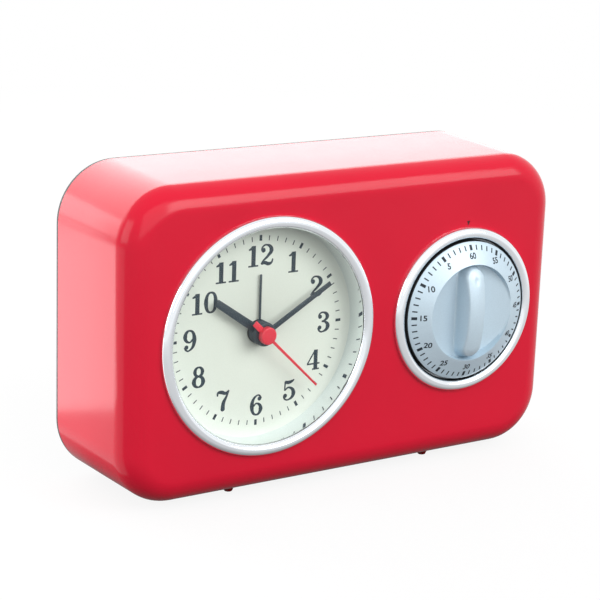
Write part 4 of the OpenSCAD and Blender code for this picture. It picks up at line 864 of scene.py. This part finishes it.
class KITCHENCLOCK_OT_timer(bpy.types.Operator):
    """Model the timer's chrome ring, its knob and the knob's scale"""

    bl_idname = "kitchen_clock.timer"
    bl_label = "Timer ring and knob"

    def execute(self, context):
        size = settings().timer
        bm = bead_ring("timer_bezel", TIMER, size.bead_width, size.bead_rise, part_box("timer_bezel")[1].y)
        piece("timer_ring", bm, chrome_plate(), "case", "chrome", "timer_bezel", sharper=50)
        lacquer = metallic_lacquer(size.knob)
        piece("knob_body", self.knob(size), lacquer, "timer_knob", "knob_silver", "timer_knob", sharper=60)
        base = moulded_abs("knob base ABS", linear("#131417"), 0.25, 0.004)
        piece("knob_base", self.base(size), base, "timer_knob", "black_plastic")
        ink = printing_ink("scale ink", size.ink)
        piece("knob_ticks", self.ticks(size), ink, "timer_knob", "knob_silver")
        piece("knob_numbers", self.numbers(size), ink, "timer_knob", "knob_silver")
        return {"FINISHED"}

    def cone(self, size, radius):
        """Depth of the conical skirt at a radius."""
        share = (size.knob_radius - radius) / (size.knob_radius - size.dish_radius)
        return FRONT - size.skirt_lift - (size.rim_lift - size.skirt_lift) * share

    def lift(self, size, x, z):
        """Height of the middle before the case: two finger scoops and the arched grip between them."""
        rise = 1.7  # power by which a scoop rises to its rim
        bend = 60  # how far the crest falls to each side, per metre
        crest_blend, scoop_blend = 1.6 * MM, 2.4 * MM
        # The dimple's depth, half its width and height, and its place above the axis
        dimple, wide, high, above = 0.3 * MM, 0.8 * MM, 1.3 * MM, 11.6 * MM
        foot = size.grip_width / 2
        out = max(0, abs(x) - foot) / (size.dish_radius - foot)
        scoop = size.dish_lift + (size.rim_lift - size.dish_lift) * out ** rise
        straight = size.grip_length / 2 - foot
        beside = math.hypot(x, max(0, abs(z) - straight))
        fall = size.crest_fall * (2 * z / size.grip_length) ** 2
        crest = size.crest_lift - fall - bend * beside ** 2
        steep = (size.crest_lift - size.dish_lift) / (foot - size.crest_width / 2)
        flank = size.dish_lift + (foot - beside) * steep
        hollow = dimple * math.exp(-(x / wide) ** 2 - ((z - above) / high) ** 2)
        grip = smooth_low(crest, flank, crest_blend) - hollow
        return -smooth_low(-scoop, -grip, scoop_blend)

    def knob(self, size):
        """The knob: a spun cone whose middle is raised and scooped by the lift's rule."""
        rim, dish = size.knob_radius, size.dish_radius
        skirt, back = FRONT - size.skirt_lift, FRONT + 0.3 * MM
        edge = 0.3 * MM
        lip, wall = 0.09 * MM, 0.45 * MM  # how far inside its rim the dish's wall starts and ends
        rings, bands = 64, 6  # rows of points across the dish and along the skirt
        top = self.cone(size, dish)
        radii = [dish + edge] + [dish + (rim - dish) * i / bands for i in range(1, bands)] + [rim - edge]
        profile = [((dish - wall) * i / rings, top) for i in range(rings + 1)] + [(dish - lip, top)]
        profile += [(r, self.cone(size, r)) for r in radii]
        profile += [(rim, skirt + edge / 2), (rim - edge, skirt + 1.5 * edge), (rim - 2 * edge, back)]
        bm = turned(profile + [(0, back)], TIMER, steps=288)
        for v in bm.verts:
            x, z = v.co.x - TIMER.x, v.co.z - TIMER.z
            if math.hypot(x, z) < dish - wall / 2 and v.co.y < skirt:
                v.co.y = FRONT - self.lift(size, x, z)
        outward(bm)
        return bm

    def base(self, size):
        """The dark base that shows as a line round the pale skirt."""
        rim = size.knob_radius
        flare = 0.2 * MM
        inner = rim - 2 * MM
        top, foot = FRONT - size.skirt_lift + 0.35 * MM, FRONT + 0.9 * MM
        bm = turned([(inner, top), (rim, top), (rim + flare, foot), (inner, foot)], TIMER, closed=True)
        rounded(bm, EASED)
        return bm

    def ticks(self, size):
        """Sixty marks on the skirt, bold at each fifth."""
        bold, fine = (1.75 * MM, 1 * MM), (1.6 * MM, 0.44 * MM)  # length and width
        bm = minute_marks(TIMER, 0, lambda reach: size.tick_radius - reach / 2, bold, fine)
        self.conform(size, bm)
        return bm

    def numbers(self, size):
        """The scale's numbers, upright, counted anticlockwise from sixty at the top."""
        bm = bmesh.new()
        for value in range(5, 61, 5):
            text = bpy.data.curves.new("number", "FONT")
            text.body = str(value)
            text.size = size.number_height / FIGURE_SHARE
            text.align_x = "CENTER"
            text.align_y = "CENTER"
            text.extrude = PRINT
            text.offset = FIGURE_SPREAD * size.number_height
            angle = -math.tau * value / 60
            place = TIMER + size.number_radius * Vector((math.sin(angle), 0, math.cos(angle)))
            mesh = curve_mesh(text)
            mesh.transform(Matrix.Translation(place) @ UPRIGHT)
            bm.from_mesh(mesh)
        bmesh.ops.remove_doubles(bm, verts=bm.verts[:], dist=NEAR)
        self.conform(size, bm)
        return bm

    def conform(self, size, bm):
        """Lays flat printing, drawn about depth 0, on the conical skirt."""
        for v in bm.verts:
            v.co.y += self.cone(size, math.hypot(v.co.x - TIMER.x, v.co.z - TIMER.z))
        outward(bm)


class KITCHENCLOCK_OT_index(bpy.types.Operator):
    """Print the timer's index mark on the case"""

    bl_idname = "kitchen_clock.index"
    bl_label = "Index mark"

    def execute(self, context):
        size = settings().case
        wide, high = math.sqrt(3), 1.5  # a triangle's width and height at a radius of 1
        bm = bmesh.new()
        bmesh.ops.create_cone(bm, cap_ends=True, segments=3, radius1=1, radius2=1, depth=1)
        shape = Matrix.Diagonal((size.index_width / wide, size.index_height / high, 2 * PRINT, 1))
        downward = UPRIGHT @ Matrix.Rotation(math.pi, 4, "Z")
        place = Matrix.Translation((TIMER.x + size.index_side, FRONT, TIMER.z + size.index_rise))
        moved(bm, place @ downward @ shape)
        tidy(bm)
        piece("index_mark", bm, printing_ink("index ink", linear("#44000A")), "case", "red_enamel")
        return {"FINISHED"}


class KITCHENCLOCK_OT_back(bpy.types.Operator):
    """Model the moulded back with its door, set knobs, switch and screws"""

    bl_idname = "kitchen_clock.back"
    bl_label = "Back cover"

    def execute(self, context):
        moulding = moulded_abs("moulded ABS", settings().case.cover)
        smooth = moulded_abs("smooth moulded ABS", settings().case.cover, 0.25, 0.006)
        for node, name, ease, plastic, body in (
                ("back_cover", "moulded_back", 0.25, moulding, "case"),
                ("battery_door", "sliding_door", 0.2, moulding, "battery_door"),
                ("time_set_knob", "time_knob", 0.12, smooth, "time_set"),
                ("alarm_set_knob", "alarm_knob", 0.12, smooth, "alarm_set"),
                ("alarm_switch_slider", "switch_slider", 0.2, smooth, "alarm_switch")):
            softened(node, name, ease * MM, plastic, body, "black_plastic")
        steel = drawn_metal("zinc-plated steel", linear("#B9BDC1"), 0.26, 0.08, 1.5)
        softened("cover_screws", "back_screws", 0.12 * MM, steel, "case", "steel")
        return {"FINISHED"}


class KITCHENCLOCK_OT_works(bpy.types.Operator):
    """Finish the pieces inside the case"""

    bl_idname = "kitchen_clock.works"
    bl_label = "Works"

    def execute(self, context):
        steel = drawn_metal("bright drawn steel", linear("#B4B8BC"), 0.28, 0.08, 1.5)
        dress(steel, "cover_posts", "pan_nuts", "pan_screws", "movement_screws", "stator", "quartz_crystal",
              "rotor", "alarm_switch_body", "battery_contact_plus", "battery_contact_minus",
              "timer_front_plate", "timer_rear_plate", "timer_nuts", "timer_arbor", "timer_balance",
              "bell_post", "bell_hammer")
        dress(drawn_metal("blued spring steel", linear("#5E6670"), 0.24, 0.05, 2), "mainspring")
        dress(drawn_metal("turned brass", linear("#C9A552"), 0.22, 0.06, 1), "cannon_pinion", "timer_pillars",
              "timer_escape_wheel", "bell", "buzzer")
        dress(natural_acetal(), "second_wheel", "third_wheel", "centre_wheel", "fifth_wheel",
              "intermediate_wheel", "hour_wheel", "alarm_wheel", "alarm_set_pinion", "timer_main_wheel",
              "timer_second_wheel", "timer_third_wheel")
        dress(moulded_abs("movement ABS", linear("#232326")), "dial_pan", "movement_front", "middle_plate",
              "movement_rear", "timer_clamp_ring")
        dress(board_lacquer(), "circuit_board")
        dress(wound_wire(), "drive_coil")
        dress(cell_sleeve(), "battery_cell")
        dress(lead_sleeve(), "battery_leads")
        return {"FINISHED"}


class KITCHENCLOCK_OT_studio(bpy.types.Operator):
    """Make the floor, the lamps, the room's light and the camera"""

    bl_idname = "kitchen_clock.studio"
    bl_label = "Studio"

    def execute(self, context):
        size = settings().studio
        context.scene.view_settings.view_transform = "Standard"
        self.room(context.scene, size)
        self.floor()
        clock = (0, 0, 0.055)
        self.lamp("key softbox", (-0.15, -1.5, 0.95), clock, (2.2, 1.6), size.key)
        self.lamp("side softbox", (0.75, -1.25, 0.85), clock, (1.0, 0.9), size.side)
        self.lamp("left softbox", (-1.3, 0.1, 0.45), clock, (0.8, 0.8), size.left)
        self.lamp("rear softbox", (-0.1, 1.45, 0.58), (-0.1, 0, 0.055), (3.4, 1.2), size.rear, 110)
        # The left side mirrors these three. A floor lamp's aim, a little off upright, sets how its sides lie
        floor_panel, standing_panel, floor_card = size.panel, size.panel * 0.7, size.panel * 0.63
        self.lamp("floor panel", (-0.2685, 0.376, 0.004), (-0.2639, 0.367, 1), (0.16, 0.662), floor_panel)
        self.lamp("standing panel", (-0.42, 0.67, 0.16), (-0.08, 0, 0.16), (0.22, 0.32), standing_panel)
        self.lamp("floor card", (-0.346, 0.165, 0.004), (-0.336, 0.165, 1), (0.37, 0.508), floor_card)
        self.camera(context.scene, size)
        return {"FINISHED"}

    def seen(self, tree):
        """One where a ray comes from the camera, a mirror or glass, and hasn't met a dull surface."""
        ray = add(tree, "LightPath").outputs
        glossy = add(tree, "Math", {0: ray["Is Camera Ray"], 1: ray["Is Glossy Ray"]}, operation="MAXIMUM")
        clear = add(tree, "Math", {0: glossy, 1: ray["Is Transmission Ray"]}, operation="MAXIMUM")
        straight = add(tree, "Math", {0: ray["Diffuse Depth"], 1: 0.5}, operation="LESS_THAN")
        return add(tree, "Math", {0: clear, 1: straight}, operation="MULTIPLY")

    def room(self, scene, size):
        """Even light, and white wherever the background is seen."""
        world = bpy.data.worlds.new("white room")
        world.use_nodes = True
        tree = world.node_tree
        tree.nodes.clear()
        light = add(tree, "Background", {"Color": (1, 1, 1, 1), "Strength": size.ambient})
        white = add(tree, "Background", {"Color": (1, 1, 1, 1), "Strength": 1})
        mix = add(tree, "MixShader", {0: self.seen(tree), 1: light, 2: white})
        add(tree, "OutputWorld", {"Surface": mix})
        scene.world = world

    def floor(self):
        """A pale paper floor that is seen as white and keeps a soft shadow."""
        made, tree, coords = finish("white background paper")
        tooth = add(tree, "TexNoise", {"Vector": coords, "Scale": per(1.5), "Detail": 3})
        tones = ((0.3, linear("#E8E8E8")), (0.7, linear("#EEEEEE")))
        paper = add(tree, "BsdfDiffuse", {"Color": add(tree, "ValToRGB", {"Fac": tooth}, tones)})
        away = add(tree, "VectorMath", {0: coords}, operation="LENGTH").outputs["Value"]
        share = add(tree, "ValToRGB", {"Fac": away}, ((0.25, 0.88), (0.8, 1)))
        # Painted shade: in a mirror the floor's glow dims towards the clock, standing in for the red case's
        # shade on the paper
        half = (case_high - case_low) / 2
        side = add(tree, "VectorMath", {0: coords}, operation="ABSOLUTE")
        past = add(tree, "VectorMath", {0: side, 1: (half.x, half.y, 0)}, operation="SUBTRACT")
        clear = add(tree, "VectorMath", {0: past, 1: (0, 0, 0)}, operation="MAXIMUM")
        gap = add(tree, "VectorMath", {0: clear}, operation="LENGTH").outputs["Value"]
        painted_mirror_shade = add(tree, "ValToRGB", {"Fac": gap}, ((0, 0.2), (0.03, 0.6), (0.12, 0.65), (0.4, 1)))
        direct = add(tree, "LightPath").outputs["Is Camera Ray"]
        bright = add(tree, "Math", {0: direct, 1: painted_mirror_shade}, operation="MAXIMUM")
        strength = add(tree, "Math", {0: self.seen(tree), 1: bright}, operation="MULTIPLY")
        glow = add(tree, "Emission", {"Color": (1, 1, 1, 1), "Strength": strength})
        white = add(tree, "MixShader", {0: share, 1: paper, 2: glow})
        add(tree, "OutputMaterial", {"Surface": white})
        reach = 6  # metres, so that its edge is never seen
        bm = bmesh.new()
        bmesh.ops.create_circle(bm, cap_ends=True, segments=96, radius=reach)
        shown("paper_floor", bm, made)

    def lamp(self, name, place, target, sides, watts, spread=180):
        """A rectangular softbox that faces a point and isn't seen itself."""
        light = bpy.data.lights.new(name, "AREA")
        light.shape = "RECTANGLE"
        light.size, light.size_y = sides
        light.energy = watts
        light.spread = math.radians(spread)
        obj = bpy.data.objects.new(name, light)
        obj.location = place
        obj.rotation_euler = (Vector(target) - Vector(place)).to_track_quat("-Z", "Y").to_euler()
        obj.visible_camera = False
        bpy.context.scene.collection.objects.link(obj)

    def camera(self, scene, size):
        """The camera, at the photograph's angle and distance."""
        data = bpy.data.cameras.new("camera")
        data.lens = size.lens
        data.sensor_width = 36
        data.clip_start, data.clip_end = 0.05, 50
        obj = bpy.data.objects.new("camera", data)
        look = Vector((-0.005703, 0.00099, 0.058406))  # what the middle of the picture shows
        aim = Matrix.Rotation(size.azimuth, 4, "Z") @ Matrix.Rotation(math.pi / 2 - size.elevation, 4, "X")
        level = aim @ Matrix.Rotation(size.roll, 4, "Z")
        obj.matrix_world = Matrix.Translation(look) @ level @ Matrix.Translation((0, 0, size.distance))
        scene.collection.objects.link(obj)
        scene.camera = obj


class KITCHENCLOCK_PT_panel(bpy.types.Panel):
    """Lists the steps that build the clock"""

    bl_idname = "KITCHENCLOCK_PT_panel"
    bl_label = "Kitchen clock"
    bl_space_type = "VIEW_3D"
    bl_region_type = "UI"
    bl_category = "Clock"

    def draw(self, context):
        """Draws one button for each step."""
        for step in STEPS:
            self.layout.operator(step.bl_idname)


STEPS = (KITCHENCLOCK_OT_studio, KITCHENCLOCK_OT_case, KITCHENCLOCK_OT_feet, KITCHENCLOCK_OT_clock_front,
         KITCHENCLOCK_OT_dial, KITCHENCLOCK_OT_hands, KITCHENCLOCK_OT_timer, KITCHENCLOCK_OT_index,
         KITCHENCLOCK_OT_back, KITCHENCLOCK_OT_works)
CLASSES = (CaseSettings, ClockSettings, HandSettings, TimerSettings, StudioSettings, KitchenClockSettings,
           *STEPS, KITCHENCLOCK_PT_panel)


def register():
    """Registers the classes and the scene's settings."""
    for made in CLASSES:
        bpy.utils.register_class(made)
    bpy.types.Scene.kitchen_clock = PointerProperty(type=KitchenClockSettings)


def unregister():
    """Removes the settings and the classes."""
    del bpy.types.Scene.kitchen_clock
    for made in reversed(CLASSES):
        bpy.utils.unregister_class(made)


def main():
    """Builds everything in order."""
    register()
    for step in STEPS:
        group, name = step.bl_idname.split(".")
        getattr(getattr(bpy.ops, group), name)()


if __name__ == "__main__":
    main()
